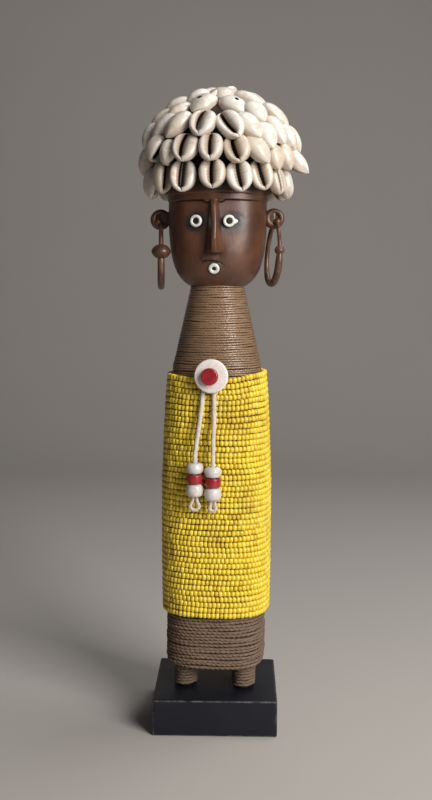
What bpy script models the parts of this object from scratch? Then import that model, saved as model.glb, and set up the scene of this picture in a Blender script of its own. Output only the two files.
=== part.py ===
"""Namji doll on a black plinth: carved head with a cowrie wig, twine-wound body, beaded skirt.

Run in Blender 4.5: blender --background --python part.py
Metres, +Z up. The origin is the centre of the plinth's underside, and the doll looks along -Y.
"""

import math
import random

import bmesh
import bpy
from mathutils import Matrix, Vector

MM = 0.001

# Clearance between pieces that touch
FIT_GAP = 0.3 * MM

# Plinth
PLINTH_SIDE = 80 * MM
PLINTH_HEIGHT = 23.5 * MM
PLINTH_EDGE = 0.9 * MM

# The figure stands turned a little on its plinth
FIGURE_TURN = math.radians(-5)

# Twine-wound feet, trunk and neck
FOOT_HEIGHT = 14.8 * MM
FOOT_WIDTH = 14 * MM
FOOT_DEPTH = 19 * MM
FOOT_SPREAD = 38.6 * MM
FOOT_FORWARD = 8.6 * MM
# Share of the foot's height, and of its width there; the foot runs on into the trunk
FOOT_OUTLINE = [(0.0, 0.9), (0.1, 1.0), (0.7, 1.02), (1.12, 1.0)]
TRUNK_WIDTH = 63.8 * MM
TRUNK_DEPTH_SHARE = 0.92
HEM_HEIGHT = 36.5 * MM
HEM_EASE = 2.2 * MM
HEM_SQUARENESS = 3.3
NECK_HEIGHT = 54.9 * MM
NECK_TOP_WIDTH = 34.4 * MM
NECK_SEAT_DEPTH = 6 * MM
TRUNK_SQUARENESS = 2.7
NECK_SQUARENESS = 2.1
NECK_ROUNDING_SHARE = 0.25
NECK_SHARES = (0.03, 0.09, 0.25, 0.5, 0.75, 1.0)
# The neck swells out above the skirt's top: share of its height, and growth of its half-width
NECK_SWELL = [(0.0, 0.0), (0.03, 0.0), (0.09, 1.1 * MM), (1.0, 0.0)]

# Share of the skirt's height, and of the trunk's width there
TRUNK_OUTLINE = [(0.0, 0.985), (0.2, 1.0), (0.55, 1.0), (0.78, 0.957), (0.9, 0.925), (1.0, 0.885)]

# Beaded skirt: strings of seed beads wound one above the other, with a ridge for each pair of strings
BEAD_DIAMETER = 3.5 * MM
STRING_PITCH = 3.6 * MM
STRING_COUNT = 43
RIDGE_COUNT = 22
RIDGE_GROOVE = 0.8 * MM

# Carved head
HEAD_WIDTH = 62.9 * MM
HEAD_DEPTH = 60.6 * MM
JAW_HEIGHT = 60.4 * MM
CROWN_HEIGHT = 56 * MM
BROW_BELOW_CROWN = 4.7 * MM
BROW_STEP = 0.6 * MM
JAW_SQUARENESS = 3.6
CROWN_SQUARENESS = 3.0
HEAD_SQUARENESS = 2.3
CHIN_EDGE = 0.02 * MM
RING_SPACING = 1 * MM

NOSE_LENGTH = 32.5 * MM
NOSE_ROOT_ABOVE_BROW = 1 * MM
NOSE_SINK = 3 * MM
NOSE_ROOT_WIDTH = 5 * MM
NOSE_TIP_WIDTH = 9.8 * MM
NOSE_ROOT_PROUD = 2.4 * MM
NOSE_TIP_PROUD = 7.4 * MM
NOSE_RIDGE_SHARE = 0.46
NOSE_FLANK_SHARE = 0.25

EYE_HEIGHT = 42.4 * MM
EYE_SPACING = 21 * MM
EYE_DIAMETER = 7.6 * MM
PUPIL_DIAMETER = 3.3 * MM
MOUTH_HEIGHT = 13.2 * MM
MOUTH_OFFSET = 1.2 * MM
MOUTH_DIAMETER = 6.8 * MM
MOUTH_HOLE = 2.2 * MM
INLAY_THICKNESS = 2.2 * MM
INLAY_DEPTH = 1.1 * MM
INLAY_RIM = 0.5 * MM
PUPIL_SET_BACK = 0.4 * MM
PUPIL_TAPER = 0.8
LIP_WIDTH = 13 * MM
LIP_ABOVE_MOUTH = 5 * MM
LIP_GROOVE = 0.8 * MM
LIP_PROUD = 0.12 * MM
LIP_DROP = {"left": 1.0 * MM, "right": 3.2 * MM}

EAR_HEIGHT = 45.4 * MM
EAR_DIAMETER = 13.8 * MM
EAR_THICKNESS = 6 * MM
EAR_RIM = 2.4 * MM
EAR_DISH = 1.6 * MM
EAR_REACH = 5.6 * MM
EAR_ROOT_THICKNESS = 4.8 * MM
EAR_ROOT_HEIGHT = 7.6 * MM
EAR_ROOT_SINK = 3 * MM
EAR_HOLE_DROP = 3 * MM
EAR_HOLE_EASE = 1.5 * MM

# Wooden hoop earrings through the ears
HOOP_HEIGHT = {"left": 40.6 * MM, "right": 38.6 * MM}
HOOP_DEPTH = 30 * MM
HOOP_THIN = 2.5 * MM
HOOP_THICK = 4.6 * MM
HOOP_FULLNESS = 0.16
HOOP_TURN = {"left": math.radians(9), "right": math.radians(18.5)}
HOOP_TILT = {"left": 0.0, "right": math.radians(3.5)}
HOOP_BALL_DIAMETER = {"left": 11.8 * MM, "right": 6.2 * MM}
HOOP_BALL_SHARE = 0.236
HOOP_BALL_SQUASH = {"left": 0.8, "right": 1.0}

# Wig: a cap with rows of cowrie shells sewn on, each sunk into it to its middle
CAP_WALL = 4 * MM
CAP_BRIM_HEIGHT = 3.5 * MM
CAP_BELOW_SEAT = 2.4 * MM
SHELL_LENGTH = 21.5 * MM
SHELL_WIDTH = 16 * MM
SHELL_THICKNESS = 11.5 * MM
SHELL_BLUNTNESS = 0.25
SHELL_SLIT_DEPTH = 0.42
SHELL_SLIT_REACH = 0.9
SHELL_SEED = 12
SHELL_TWIST = math.radians(9)
SHELL_SWAY = math.radians(5)
SHELL_STRETCH = 0.06
WIG_SWAY = 4 * MM
# Shells in each row, and its first bearing, height as a share of the crown's, seat out from the head's
# widest, and lean
SHELL_COUNTS = (15, 15, 13, 9, 4)
WIG_ROWS = [
    (1.5, 0.19, 8.2 * MM, 17),
    (13.0, 0.44, 12.6 * MM, 38),
    (0.0, 0.69, 5.3 * MM, 47),
    (20.0, 0.89, -7.6 * MM, 62),
    (10.0, 1.12, -21.9 * MM, 78),
]

# Breast button and its two pendants
DISC_DIAMETER = 21.4 * MM
DISC_THICKNESS = 2.6 * MM
DISC_ABOVE_SKIRT = 1.5 * MM
BUTTON_DIAMETER = 10.8 * MM
BUTTON_THICKNESS = 4 * MM
BUTTON_OFFSET = -0.6 * MM
BUTTON_EDGE = 0.5 * MM
DISC_STANDOFF = 0.9 * MM
CORD_DIAMETER = 2.9 * MM
PENDANT_WIDTH = 10.5 * MM
RED_BEAD_WIDTH = 9.7 * MM
PENDANT_HEIGHTS = {"top": 7.0 * MM, "middle": 5.7 * MM, "bottom": 8.2 * MM}
PENDANT_EASE = 2.2 * MM
RED_BEAD_EASE = 0.6 * MM
EASE_SLOPE = 0.45
LOOP_STRAND = 2.3 * MM
LOOP_LENGTH = {"left": 9.4 * MM, "right": 7.6 * MM}
LOOP_SPREAD = {"left": 5.6 * MM, "right": 3.8 * MM}

# Each cord's centreline in the figure's frame, in millimetres above the plinth
CORD_ROUTES = {
    "left": [
        (-4.8, -32.2, 206.2), (-5.1, -32.3, 201.5), (-5.6, -32.7, 195.0), (-6.2, -33.6, 188.0),
        (-6.9, -34.8, 181.0), (-7.7, -36.2, 174.0), (-8.6, -37.6, 167.0), (-9.4, -38.9, 160.5),
        (-9.7, -39.3, 156.0), (-9.7, -39.3, 150.0), (-9.7, -39.3, 144.0), (-9.7, -39.3, 138.0),
        (-9.7, -39.3, 132.4),
    ],
    "right": [
        (1.5, -32.2, 206.2), (1.5, -32.3, 201.5), (1.6, -32.7, 195.0), (1.7, -33.6, 188.0),
        (1.8, -34.8, 181.0), (1.8, -36.2, 174.0), (1.7, -37.6, 167.0), (1.7, -38.9, 160.0),
        (1.7, -39.3, 154.5), (1.7, -39.3, 148.5), (1.7, -39.3, 142.5), (1.7, -39.3, 136.5),
        (1.7, -39.3, 130.2),
    ],
}

# Heights in the figure's frame, whose ground is the top of the plinth
SKIRT_HEIGHT = STRING_COUNT * STRING_PITCH
SKIRT_BASE = FOOT_HEIGHT + HEM_HEIGHT
SKIRT_TOP = SKIRT_BASE + SKIRT_HEIGHT
CHIN = SKIRT_TOP + NECK_HEIGHT
CROWN_BASE = CHIN + JAW_HEIGHT
BROW = CROWN_BASE - BROW_BELOW_CROWN

# Facets
TRUNK_SIDES = 16
FOOT_SIDES = 14
HEAD_SIDES = 24
JAW_STEPS = 8
CROWN_STEPS = 4
LIP_STEPS = 6
EAR_SIDES = 18
EAR_HOLE_SIDES = 10
HOOP_STEPS = 20
INLAY_SIDES = 20
BEAD_SIDES = 12
DISC_SIDES = 28
LOOP_STEPS = 8
PI = math.pi


def clear_scene():
    for obj in list(bpy.data.objects):
        bpy.data.objects.remove(obj, do_unlink=True)
    doll = bpy.data.collections.new("namji_doll")
    cutters = bpy.data.collections.new("cutters")
    for collection in (doll, cutters):
        bpy.context.scene.collection.children.link(collection)
    return doll, cutters


def paint(name, colour, roughness, metallic=0.0):
    material = bpy.data.materials.new(name)
    material.use_nodes = True
    shader = material.node_tree.nodes["Principled BSDF"]
    shader.inputs["Base Color"].default_value = (*colour, 1.0)
    shader.inputs["Roughness"].default_value = roughness
    shader.inputs["Metallic"].default_value = metallic
    return material


def place(name, mesh, material=None, parent=None):
    """A piece of the doll, or a helper if it has no material."""
    obj = bpy.data.objects.new(name, mesh)
    obj.parent = parent
    if material:
        doll_collection.objects.link(obj)
        mesh.materials.append(material)
        mesh.shade_smooth()
        mesh.set_sharp_from_angle(angle=math.radians(35))
    else:
        cutter_collection.objects.link(obj)
        obj.hide_render = True
        obj.display_type = "WIRE"
    return obj


def mesh_from(name, shape):
    mesh = bpy.data.meshes.new(name)
    shape.to_mesh(mesh)
    shape.free()
    return mesh


def superellipse(half_x, half_y, power, height, sides):
    ring = []
    for i in range(sides):
        angle = 2 * PI * i / sides
        along = abs(math.cos(angle) / half_x) ** power + abs(math.sin(angle) / half_y) ** power
        reach = along ** (-1 / power)
        ring.append(Vector((reach * math.cos(angle), reach * math.sin(angle), height)))
    return ring


def loft(name, rings, closed=False):
    """Skin over rings with the same number of points. Closed joins the last ring to the first."""
    shape = bmesh.new()
    loops = [[shape.verts.new(point) for point in ring] for ring in rings]
    for lower, upper in zip(loops, loops[1:] + loops[:1] if closed else loops[1:]):
        for i in range(len(lower)):
            j = (i + 1) % len(lower)
            shape.faces.new((lower[i], lower[j], upper[j], upper[i]))
    if not closed:
        shape.faces.new(list(reversed(loops[0])))
        shape.faces.new(loops[-1])
    bmesh.ops.recalc_face_normals(shape, faces=shape.faces)
    return mesh_from(name, shape)


def turned(name, profile, sides):
    """A closed profile of (radius, height) points spun round Z, outer side first and top to bottom."""
    shape = bmesh.new()
    corners = [shape.verts.new((radius, 0, height)) for radius, height in profile]
    for a, b in zip(corners, corners[1:] + corners[:1]):
        shape.edges.new((a, b))
    bmesh.ops.spin(
        shape, geom=shape.verts[:] + shape.edges[:], axis=(0, 0, 1), cent=(0, 0, 0),
        angle=2 * PI, steps=sides, use_duplicate=False,
    )
    bmesh.ops.remove_doubles(shape, verts=shape.verts, dist=0.01 * MM)
    bmesh.ops.recalc_face_normals(shape, faces=shape.faces)
    return mesh_from(name, shape)


def cylinder(name, diameter, depth, sides, matrix=None, top_diameter=None):
    """A cylinder on Z, centred on its own middle unless the matrix says otherwise."""
    shape = bmesh.new()
    bmesh.ops.create_cone(
        shape, cap_ends=True, segments=sides, radius1=diameter / 2,
        radius2=(top_diameter or diameter) / 2, depth=depth, matrix=matrix or Matrix.Identity(4),
    )
    return mesh_from(name, shape)


def boolean(obj, other, operation):
    modifier = obj.modifiers.new(f"{operation.lower()} {other.name}", "BOOLEAN")
    modifier.operation = operation
    modifier.object = other
    return modifier


def along(outline, share):
    """Straight-line reading of (share, value) points."""
    for (low, value), (high, following) in zip(outline, outline[1:]):
        if share <= high:
            return value + (following - value) * (share - low) / (high - low)
    return outline[-1][1]


def make_plinth():
    shape = bmesh.new()
    bmesh.ops.create_cube(shape, size=1.0)
    bmesh.ops.scale(shape, vec=(PLINTH_SIDE, PLINTH_SIDE, PLINTH_HEIGHT), verts=shape.verts)
    bmesh.ops.translate(shape, vec=(0, 0, PLINTH_HEIGHT / 2), verts=shape.verts)
    plinth = place("plinth", mesh_from("plinth", shape), paint("black_paint", (0.012, 0.013, 0.018), 0.35))
    bevel = plinth.modifiers.new("eased edges", "BEVEL")
    bevel.width = PLINTH_EDGE
    bevel.segments = 2
    return plinth


def trunk_half(share):
    return TRUNK_WIDTH / 2 * along(TRUNK_OUTLINE, share)


def trunk_front(share, grow=0.0):
    """How far the trunk's front is from its axis, at a share of the skirt's height."""
    return trunk_half(share) * TRUNK_DEPTH_SHARE + grow


def trunk_ring(share, grow=0.0):
    """The trunk's section at a share of the skirt's height, made larger by grow."""
    height = SKIRT_BASE + share * SKIRT_HEIGHT
    half_x, half_y = trunk_half(share) + grow, trunk_front(share, grow)
    return superellipse(half_x, half_y, TRUNK_SQUARENESS, height, TRUNK_SIDES)


def neck_ring(share, grow=0.0):
    """The neck's section, from the skirt's top at 0 to the chin at 1, and on into the head."""
    swell = along(NECK_SWELL, share) + grow
    half_x, half_y = (
        start + (NECK_TOP_WIDTH / 2 - start) * share + swell for start in (trunk_half(1.0), trunk_front(1.0))
    )
    rounding = min(1.0, share / NECK_ROUNDING_SHARE)
    power = TRUNK_SQUARENESS + (NECK_SQUARENESS - TRUNK_SQUARENESS) * rounding
    return superellipse(half_x, half_y, power, SKIRT_TOP + share * NECK_HEIGHT, TRUNK_SIDES)


def make_wound_body(figure):
    rings = []
    for inset in (HEM_EASE, 0.0):
        half_x, half_y = trunk_half(0) - inset, trunk_front(0) - inset
        height = FOOT_HEIGHT + HEM_EASE - inset
        rings.append(superellipse(half_x, half_y, HEM_SQUARENESS, height, TRUNK_SIDES))
    rings += [trunk_ring(share) for share, _ in TRUNK_OUTLINE]
    seat_share = 1 + (NECK_SEAT_DEPTH - FIT_GAP) / NECK_HEIGHT
    rings += [neck_ring(share) for share in (*NECK_SHARES, seat_share)]
    twine = paint("twine", (0.2, 0.135, 0.09), 0.6)
    body = place("wound_body", loft("wound_body", rings), twine, figure)

    for side in (-1, 1):
        foot_rings = []
        for share, size in FOOT_OUTLINE:
            half_x, half_y = FOOT_WIDTH / 2 * size, FOOT_DEPTH / 2 * size
            ring = superellipse(half_x, half_y, NECK_SQUARENESS, share * FOOT_HEIGHT, FOOT_SIDES)
            foot_rings.append([p + Vector((side * FOOT_SPREAD / 2, -FOOT_FORWARD, 0)) for p in ring])
        foot = place(f"foot_{side}", loft("foot", foot_rings), parent=figure)
        boolean(body, foot, "UNION")
    return body


def make_skirt(figure):
    """A sleeve with a rounded ridge for each pair of bead strings."""
    rings = []
    for ridge in range(RIDGE_COUNT):
        for step, groove in ((0.0, RIDGE_GROOVE), (0.5, 0.0)):
            rings.append(trunk_ring((ridge + step) / RIDGE_COUNT, FIT_GAP + BEAD_DIAMETER - groove))
    rings.append(trunk_ring(1.0, FIT_GAP + BEAD_DIAMETER - RIDGE_GROOVE))
    rings += [trunk_ring(share, FIT_GAP) for share, _ in reversed(TRUNK_OUTLINE)]
    yellow = paint("yellow_beads", (0.8, 0.55, 0.04), 0.35)
    return place("bead_skirt", loft("bead_skirt", rings, closed=True), yellow, figure)


def jaw_share(rise):
    """Width of the U-shaped jaw as a share of the head's, at a share of its height."""
    return (1 - (1 - min(rise, 1.0)) ** JAW_SQUARENESS) ** (1 / JAW_SQUARENESS)


def head_share(height):
    """Width of the head as a share of its full width, at a height above the figure's ground."""
    if height < CROWN_BASE:
        return jaw_share((height - CHIN) / JAW_HEIGHT)
    rise = min((height - CROWN_BASE) / CROWN_HEIGHT, 1.0)
    return (1 - rise**CROWN_SQUARENESS) ** (1 / CROWN_SQUARENESS)


def head_ring(height, grow=0.0):
    share = head_share(height)
    step = BROW_STEP if height > BROW else 0.0
    half_x = HEAD_WIDTH / 2 * share + step + grow
    half_y = HEAD_DEPTH / 2 * share + step + grow
    return superellipse(half_x, half_y, HEAD_SQUARENESS, height, HEAD_SIDES)


def face_front(height, x=0.0):
    """Y of the bare face at a height and a distance from the middle."""
    share = head_share(height)
    across = min(abs(x) / (HEAD_WIDTH / 2 * share), 1.0)
    return -HEAD_DEPTH / 2 * share * (1 - across**HEAD_SQUARENESS) ** (1 / HEAD_SQUARENESS)


def crown_heights():
    """Heights of the crown's rings, closer together towards its top."""
    rises = [math.sin(PI / 2 * i / CROWN_STEPS) ** 0.75 for i in range(1, CROWN_STEPS + 1)]
    return [CROWN_BASE + (CROWN_HEIGHT - CHIN_EDGE) * rise for rise in rises]


def head_rings():
    jaw = []
    for i in range(1, JAW_STEPS):
        rise = 1 - math.cos(PI / 2 * i / JAW_STEPS) ** (2 / JAW_SQUARENESS)
        jaw.append(CHIN + JAW_HEIGHT * rise)
    heights = [CHIN + CHIN_EDGE] + [h for h in jaw if h < BROW - 2 * RING_SPACING]
    heights += [BROW, BROW + BROW_STEP / 2, CROWN_BASE] + crown_heights()
    return [head_ring(height) for height in heights]


def make_nose(figure):
    """A wedge with a narrow flat ridge, wider and prouder towards its tip."""
    rings = []
    for share in (0.0, 0.5, 1.0):
        height = BROW + NOSE_ROOT_ABOVE_BROW - share * (NOSE_LENGTH + NOSE_ROOT_ABOVE_BROW)
        width = NOSE_ROOT_WIDTH + (NOSE_TIP_WIDTH - NOSE_ROOT_WIDTH) * share
        ridge = NOSE_RIDGE_SHARE * (NOSE_ROOT_WIDTH + width) / 2
        proud = NOSE_ROOT_PROUD + (NOSE_TIP_PROUD - NOSE_ROOT_PROUD) * share
        flank = -NOSE_FLANK_SHARE * proud
        skin = face_front(min(height, BROW))
        section = [
            (width / 2, NOSE_SINK), (width / 2, flank), (ridge / 2, -proud),
            (-ridge / 2, -proud), (-width / 2, flank), (-width / 2, NOSE_SINK),
        ]
        rings.append([Vector((x, skin + y, height)) for x, y in section])
    return place("nose", loft("nose", rings), parent=figure)


def facing(x, height):
    """Frame on the face's skin at x and height, its Z pointing out of the face."""
    reach = RING_SPACING
    side = Vector((2 * reach, face_front(height, x + reach) - face_front(height, x - reach), 0)).normalized()
    lean = (face_front(height + reach, x) - face_front(height - reach, x)) / (2 * reach)
    normal = side.cross(Vector((0, lean, 1))).normalized()
    frame = Matrix((side, normal.cross(side), normal)).transposed().to_4x4()
    frame.translation = Vector((x, face_front(height, x), height))
    return frame


def make_lip_cutter(figure):
    """A bowed groove for the mouth's line, above the mouth bead."""
    curve = bpy.data.curves.new("lip", "CURVE")
    curve.dimensions = "3D"
    curve.bevel_depth = LIP_GROOVE
    curve.bevel_resolution = 0
    curve.use_fill_caps = True
    spline = curve.splines.new("POLY")
    spline.points.add(LIP_STEPS)
    for i in range(LIP_STEPS + 1):
        off_middle = 2 * i / LIP_STEPS - 1
        x = LIP_WIDTH / 2 * off_middle
        drop = LIP_DROP["right" if off_middle > 0 else "left"] * off_middle**2
        height = CHIN + MOUTH_HEIGHT + LIP_ABOVE_MOUTH - drop
        spline.points[i].co = (x, face_front(height, x) - LIP_PROUD, height, 1)
    return as_mesh("lip_groove", curve, figure)


def as_mesh(name, curve, parent):
    """A curve made a mesh with its caps welded, as a helper object."""
    source = bpy.data.objects.new(name + "_curve", curve)
    cutter_collection.objects.link(source)
    bpy.context.view_layer.update()
    graph = bpy.context.evaluated_depsgraph_get()
    mesh = bpy.data.meshes.new_from_object(source.evaluated_get(graph))
    bpy.data.objects.remove(source)
    shape = bmesh.new()
    shape.from_mesh(mesh)
    bmesh.ops.remove_doubles(shape, verts=shape.verts, dist=0.001 * MM)
    bmesh.ops.recalc_face_normals(shape, faces=shape.faces)
    shape.to_mesh(mesh)
    shape.free()
    return place(name, mesh, parent=parent)


def ear_centre(side):
    height = CHIN + EAR_HEIGHT
    return Vector((side * (HEAD_WIDTH / 2 * head_share(height) + EAR_REACH), 0, height))


def make_ear(head, side, turn, figure):
    """A dished disc that faces forward, on a short root, with a hole for the hoop."""
    forward = Matrix.Rotation(PI / 2, 4, "X")
    centre = Matrix.Translation(ear_centre(side))
    disc_mesh = cylinder("ear", EAR_DIAMETER, EAR_THICKNESS, EAR_SIDES, centre @ forward)
    disc = place(f"ear_{side}", disc_mesh, parent=figure)
    root_size = Matrix.Diagonal((EAR_REACH + EAR_ROOT_SINK, EAR_ROOT_THICKNESS, EAR_ROOT_HEIGHT, 1))
    inwards = Matrix.Translation(Vector((-side * EAR_REACH / 2, 0, 0)))
    shape = bmesh.new()
    bmesh.ops.create_cube(shape, size=1.0, matrix=centre @ inwards @ root_size)
    root = place(f"ear_root_{side}", mesh_from("ear_root", shape), parent=figure)
    dish_width = EAR_DIAMETER - 2 * EAR_RIM
    front = Matrix.Translation(Vector((0, -EAR_THICKNESS / 2, 0)))
    dish_mesh = cylinder("ear_dish", dish_width, 2 * EAR_DISH, EAR_SIDES, centre @ front @ forward)
    dish = place(f"ear_dish_{side}", dish_mesh, parent=figure)
    lower = Matrix.Translation(Vector((0, 0, -EAR_HOLE_DROP - FIT_GAP)))
    along_hoop = lower @ Matrix.Rotation(turn, 4, "Z") @ forward
    hole_width = HOOP_THIN + EAR_HOLE_EASE
    hole_mesh = cylinder("ear_hole", hole_width, 3 * EAR_THICKNESS, EAR_HOLE_SIDES, centre @ along_hoop)
    hole = place(f"ear_hole_{side}", hole_mesh, parent=figure)
    boolean(head, disc, "UNION")
    boolean(head, root, "UNION")
    boolean(head, dish, "DIFFERENCE")
    boolean(head, hole, "DIFFERENCE")


def make_head(figure):
    wood = paint("dark_wood", (0.085, 0.03, 0.018), 0.38)
    head = place("head", loft("head", head_rings()), wood, figure)
    boolean(head, make_nose(figure), "UNION")
    for label, side in (("left", -1), ("right", 1)):
        make_ear(head, side, HOOP_TURN[label], figure)
        socket_mesh = cylinder("socket", EYE_DIAMETER + 2 * FIT_GAP, 2 * INLAY_DEPTH, INLAY_SIDES)
        socket = place(f"eye_socket_{side}", socket_mesh, parent=figure)
        socket.matrix_local = facing(side * EYE_SPACING / 2, CHIN + EYE_HEIGHT)
        boolean(head, socket, "DIFFERENCE")
    mouth_mesh = cylinder("socket", MOUTH_DIAMETER + 2 * FIT_GAP, 2 * INLAY_DEPTH, INLAY_SIDES)
    mouth_socket = place("mouth_socket", mouth_mesh, parent=figure)
    mouth_socket.matrix_local = facing(MOUTH_OFFSET, CHIN + MOUTH_HEIGHT)
    boolean(head, mouth_socket, "DIFFERENCE")
    boolean(head, make_lip_cutter(figure), "DIFFERENCE")
    seat_shares = (*NECK_SHARES[-2:], 1 + NECK_SEAT_DEPTH / NECK_HEIGHT)
    seat_rings = [neck_ring(share, FIT_GAP) for share in seat_shares]
    boolean(head, place("neck_seat", loft("neck_seat", seat_rings), parent=figure), "DIFFERENCE")
    return head


def make_inlays(figure):
    """White ring beads let into the face for the eyes and mouth, and the dark pupils."""
    ivory = paint("white_ring", (0.75, 0.72, 0.66), 0.35)
    black = paint("pupil", (0.015, 0.014, 0.013), 0.3)
    low = -INLAY_DEPTH + FIT_GAP
    high = low + INLAY_THICKNESS

    def ring_bead(name, diameter, hole, x, height):
        profile = [
            (diameter / 2, high - INLAY_RIM), (diameter / 2, low), (hole / 2, low),
            (hole / 2, high), (diameter / 2 - INLAY_RIM, high),
        ]
        bead = place(name, turned(name, profile, INLAY_SIDES), ivory, figure)
        bead.matrix_local = facing(x, CHIN + height)

    for label, side in (("left", -1), ("right", 1)):
        x = side * EYE_SPACING / 2
        ring_bead(f"eye_ring_{label}", EYE_DIAMETER, PUPIL_DIAMETER + 2 * FIT_GAP, x, EYE_HEIGHT)
        stud_height = INLAY_THICKNESS - PUPIL_SET_BACK
        lift = Matrix.Translation((0, 0, low + stud_height / 2))
        stud = cylinder("pupil", PUPIL_DIAMETER, stud_height, BEAD_SIDES, lift, PUPIL_TAPER * PUPIL_DIAMETER)
        pupil = place(f"eye_pupil_{label}", stud, black, figure)
        pupil.matrix_local = facing(x, CHIN + EYE_HEIGHT)
    ring_bead("mouth_ring", MOUTH_DIAMETER, MOUTH_HOLE, MOUTH_OFFSET, MOUTH_HEIGHT)


def hoop_point(label, share):
    """Centreline of a hoop in its own plane, from its top round the front, as (forward, down)."""
    angle = 2 * PI * share
    fuller_below = 1 - HOOP_FULLNESS * math.cos(angle)
    return HOOP_DEPTH / 2 * math.sin(angle) * fuller_below, HOOP_HEIGHT[label] / 2 * (1 - math.cos(angle))


def hoop_thickness(share):
    """Thin where the hoop passes the ear, thick round its lower half."""
    low = (1 - math.cos(2 * PI * share)) / 2
    return HOOP_THIN + (HOOP_THICK - HOOP_THIN) * min(1.0, 1.4 * low**1.5)


def make_hoop(label, side, figure):
    wood = paint(f"hoop_wood_{label}", (0.1, 0.045, 0.025), 0.4)
    curve = bpy.data.curves.new(f"hoop_{label}", "CURVE")
    curve.dimensions = "3D"
    curve.bevel_depth = HOOP_THICK / 2
    curve.bevel_resolution = 2
    spline = curve.splines.new("POLY")
    spline.points.add(HOOP_STEPS - 1)
    spline.use_cyclic_u = True
    for i, point in enumerate(spline.points):
        forward, down = hoop_point(label, i / HOOP_STEPS)
        point.co = (0, -forward, -down, 1)
        point.radius = hoop_thickness(i / HOOP_STEPS) / HOOP_THICK
    hoop = as_mesh(f"hoop_{label}", curve, None)
    mesh = hoop.data
    bpy.data.objects.remove(hoop)
    hoop = place(f"earring_{label}", mesh, wood, figure)
    hole = ear_centre(side) - Vector((0, 0, EAR_HOLE_DROP))
    hoop.location = hole
    hoop.rotation_euler = (0, HOOP_TILT[label], HOOP_TURN[label])

    shape = bmesh.new()
    forward, down = hoop_point(label, HOOP_BALL_SHARE)
    squash = Matrix.Diagonal((1, 1, HOOP_BALL_SQUASH[label], 1))
    bmesh.ops.create_uvsphere(
        shape, u_segments=BEAD_SIDES, v_segments=7, radius=HOOP_BALL_DIAMETER[label] / 2,
        matrix=Matrix.Translation((0, -forward, -down)) @ squash,
    )
    ball = place(f"hoop_ball_{label}", mesh_from("hoop_ball", shape), parent=figure)
    ball.location = hoop.location
    ball.rotation_euler = hoop.rotation_euler
    boolean(hoop, ball, "UNION")


def cowrie(name):
    """A coarse cowrie: egg-shaped along Z, with the slit between two lips facing -Y."""
    shape = bmesh.new()
    bmesh.ops.create_uvsphere(shape, u_segments=6, v_segments=4, radius=0.5)
    for vert in shape.verts:
        forward = -vert.co.y / max(math.hypot(vert.co.x, vert.co.y), FIT_GAP)
        slit = max(0.0, forward - SHELL_SLIT_REACH) / (1 - SHELL_SLIT_REACH)
        blunt = 1 + SHELL_BLUNTNESS * vert.co.z
        vert.co.x *= blunt
        vert.co.y *= blunt * (1 - SHELL_SLIT_DEPTH * slit)
    bmesh.ops.scale(shape, vec=(SHELL_WIDTH, SHELL_THICKNESS, SHELL_LENGTH), verts=shape.verts)
    return mesh_from(name, shape)


def seat_halves(standoff):
    return HEAD_WIDTH / 2 + standoff, HEAD_DEPTH / 2 + standoff


def shell_frames():
    """Where each shell of the wig sits: its length runs down the crown, its slit looks outwards."""
    chance = random.Random(SHELL_SEED)
    frames = []
    for count, (first, height_share, standoff, lean) in zip(SHELL_COUNTS, WIG_ROWS):
        half_x, half_y = seat_halves(standoff)
        for i in range(count):
            bearing = math.radians(first) + 2 * PI * i / count + chance.uniform(-1, 1) * SHELL_SWAY / 4
            tilt = math.radians(lean) + chance.uniform(-1, 1) * SHELL_SWAY
            twist = chance.uniform(-1, 1) * SHELL_TWIST
            stretch = 1 + chance.uniform(-1, 1) * SHELL_STRETCH
            height = CROWN_BASE + height_share * CROWN_HEIGHT
            seat = Vector((half_x * math.sin(bearing), -half_y * math.cos(bearing), height))
            turn = Matrix.Rotation(bearing, 4, "Z")
            pose = Matrix.Rotation(-tilt, 4, "X") @ Matrix.Rotation(twist, 4, "Y")
            seat.x += WIG_SWAY * height_share
            frames.append(Matrix.Translation(seat) @ turn @ pose @ Matrix.Scale(stretch, 4))
    return frames


def cap_rings():
    """The cap's outside: its brim on the head, then a ring for each row of shells.

    A ring lies just under the shells' seats, or a wall's thickness off the head where that is wider.
    """
    wall = FIT_GAP + CAP_WALL
    rings = [head_ring(CROWN_BASE + CAP_BRIM_HEIGHT, wall)]
    for _, height_share, standoff, _ in WIG_ROWS:
        height = CROWN_BASE + height_share * CROWN_HEIGHT
        share = head_share(height)
        seats = seat_halves(standoff - CAP_BELOW_SEAT)
        head = (HEAD_WIDTH / 2 * share + wall, HEAD_DEPTH / 2 * share + wall)
        half_x, half_y = (max(pair) for pair in zip(seats, head))
        rings.append(superellipse(half_x, half_y, HEAD_SQUARENESS, height, HEAD_SIDES))
    return rings


def make_wig(figure):
    """The cap with its shells fused on, hollow over the crown."""
    bone = paint("cowrie", (0.72, 0.66, 0.56), 0.3)
    wig = place("shell_wig", loft("shell_wig", cap_rings()), bone, figure)
    shells = bpy.data.collections.new("shells")
    cutter_collection.children.link(shells)
    mesh = cowrie("cowrie")
    for i, frame in enumerate(shell_frames()):
        shell = bpy.data.objects.new(f"shell_{i:02d}", mesh)
        shells.objects.link(shell)
        shell.hide_render = True
        shell.display_type = "WIRE"
        shell.parent = figure
        shell.matrix_local = frame
    join = wig.modifiers.new("sewn on shells", "BOOLEAN")
    join.operation = "UNION"
    join.operand_type = "COLLECTION"
    join.collection = shells
    inside = [head_ring(BROW + RING_SPACING, FIT_GAP), head_ring(CROWN_BASE, FIT_GAP)]
    inside += [head_ring(height, FIT_GAP) for height in crown_heights()]
    inside[-1] = [Vector((p.x, p.y, p.z + FIT_GAP)) for p in inside[-1]]
    boolean(wig, place("crown_room", loft("crown_room", inside), parent=figure), "DIFFERENCE")
    return wig


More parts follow.
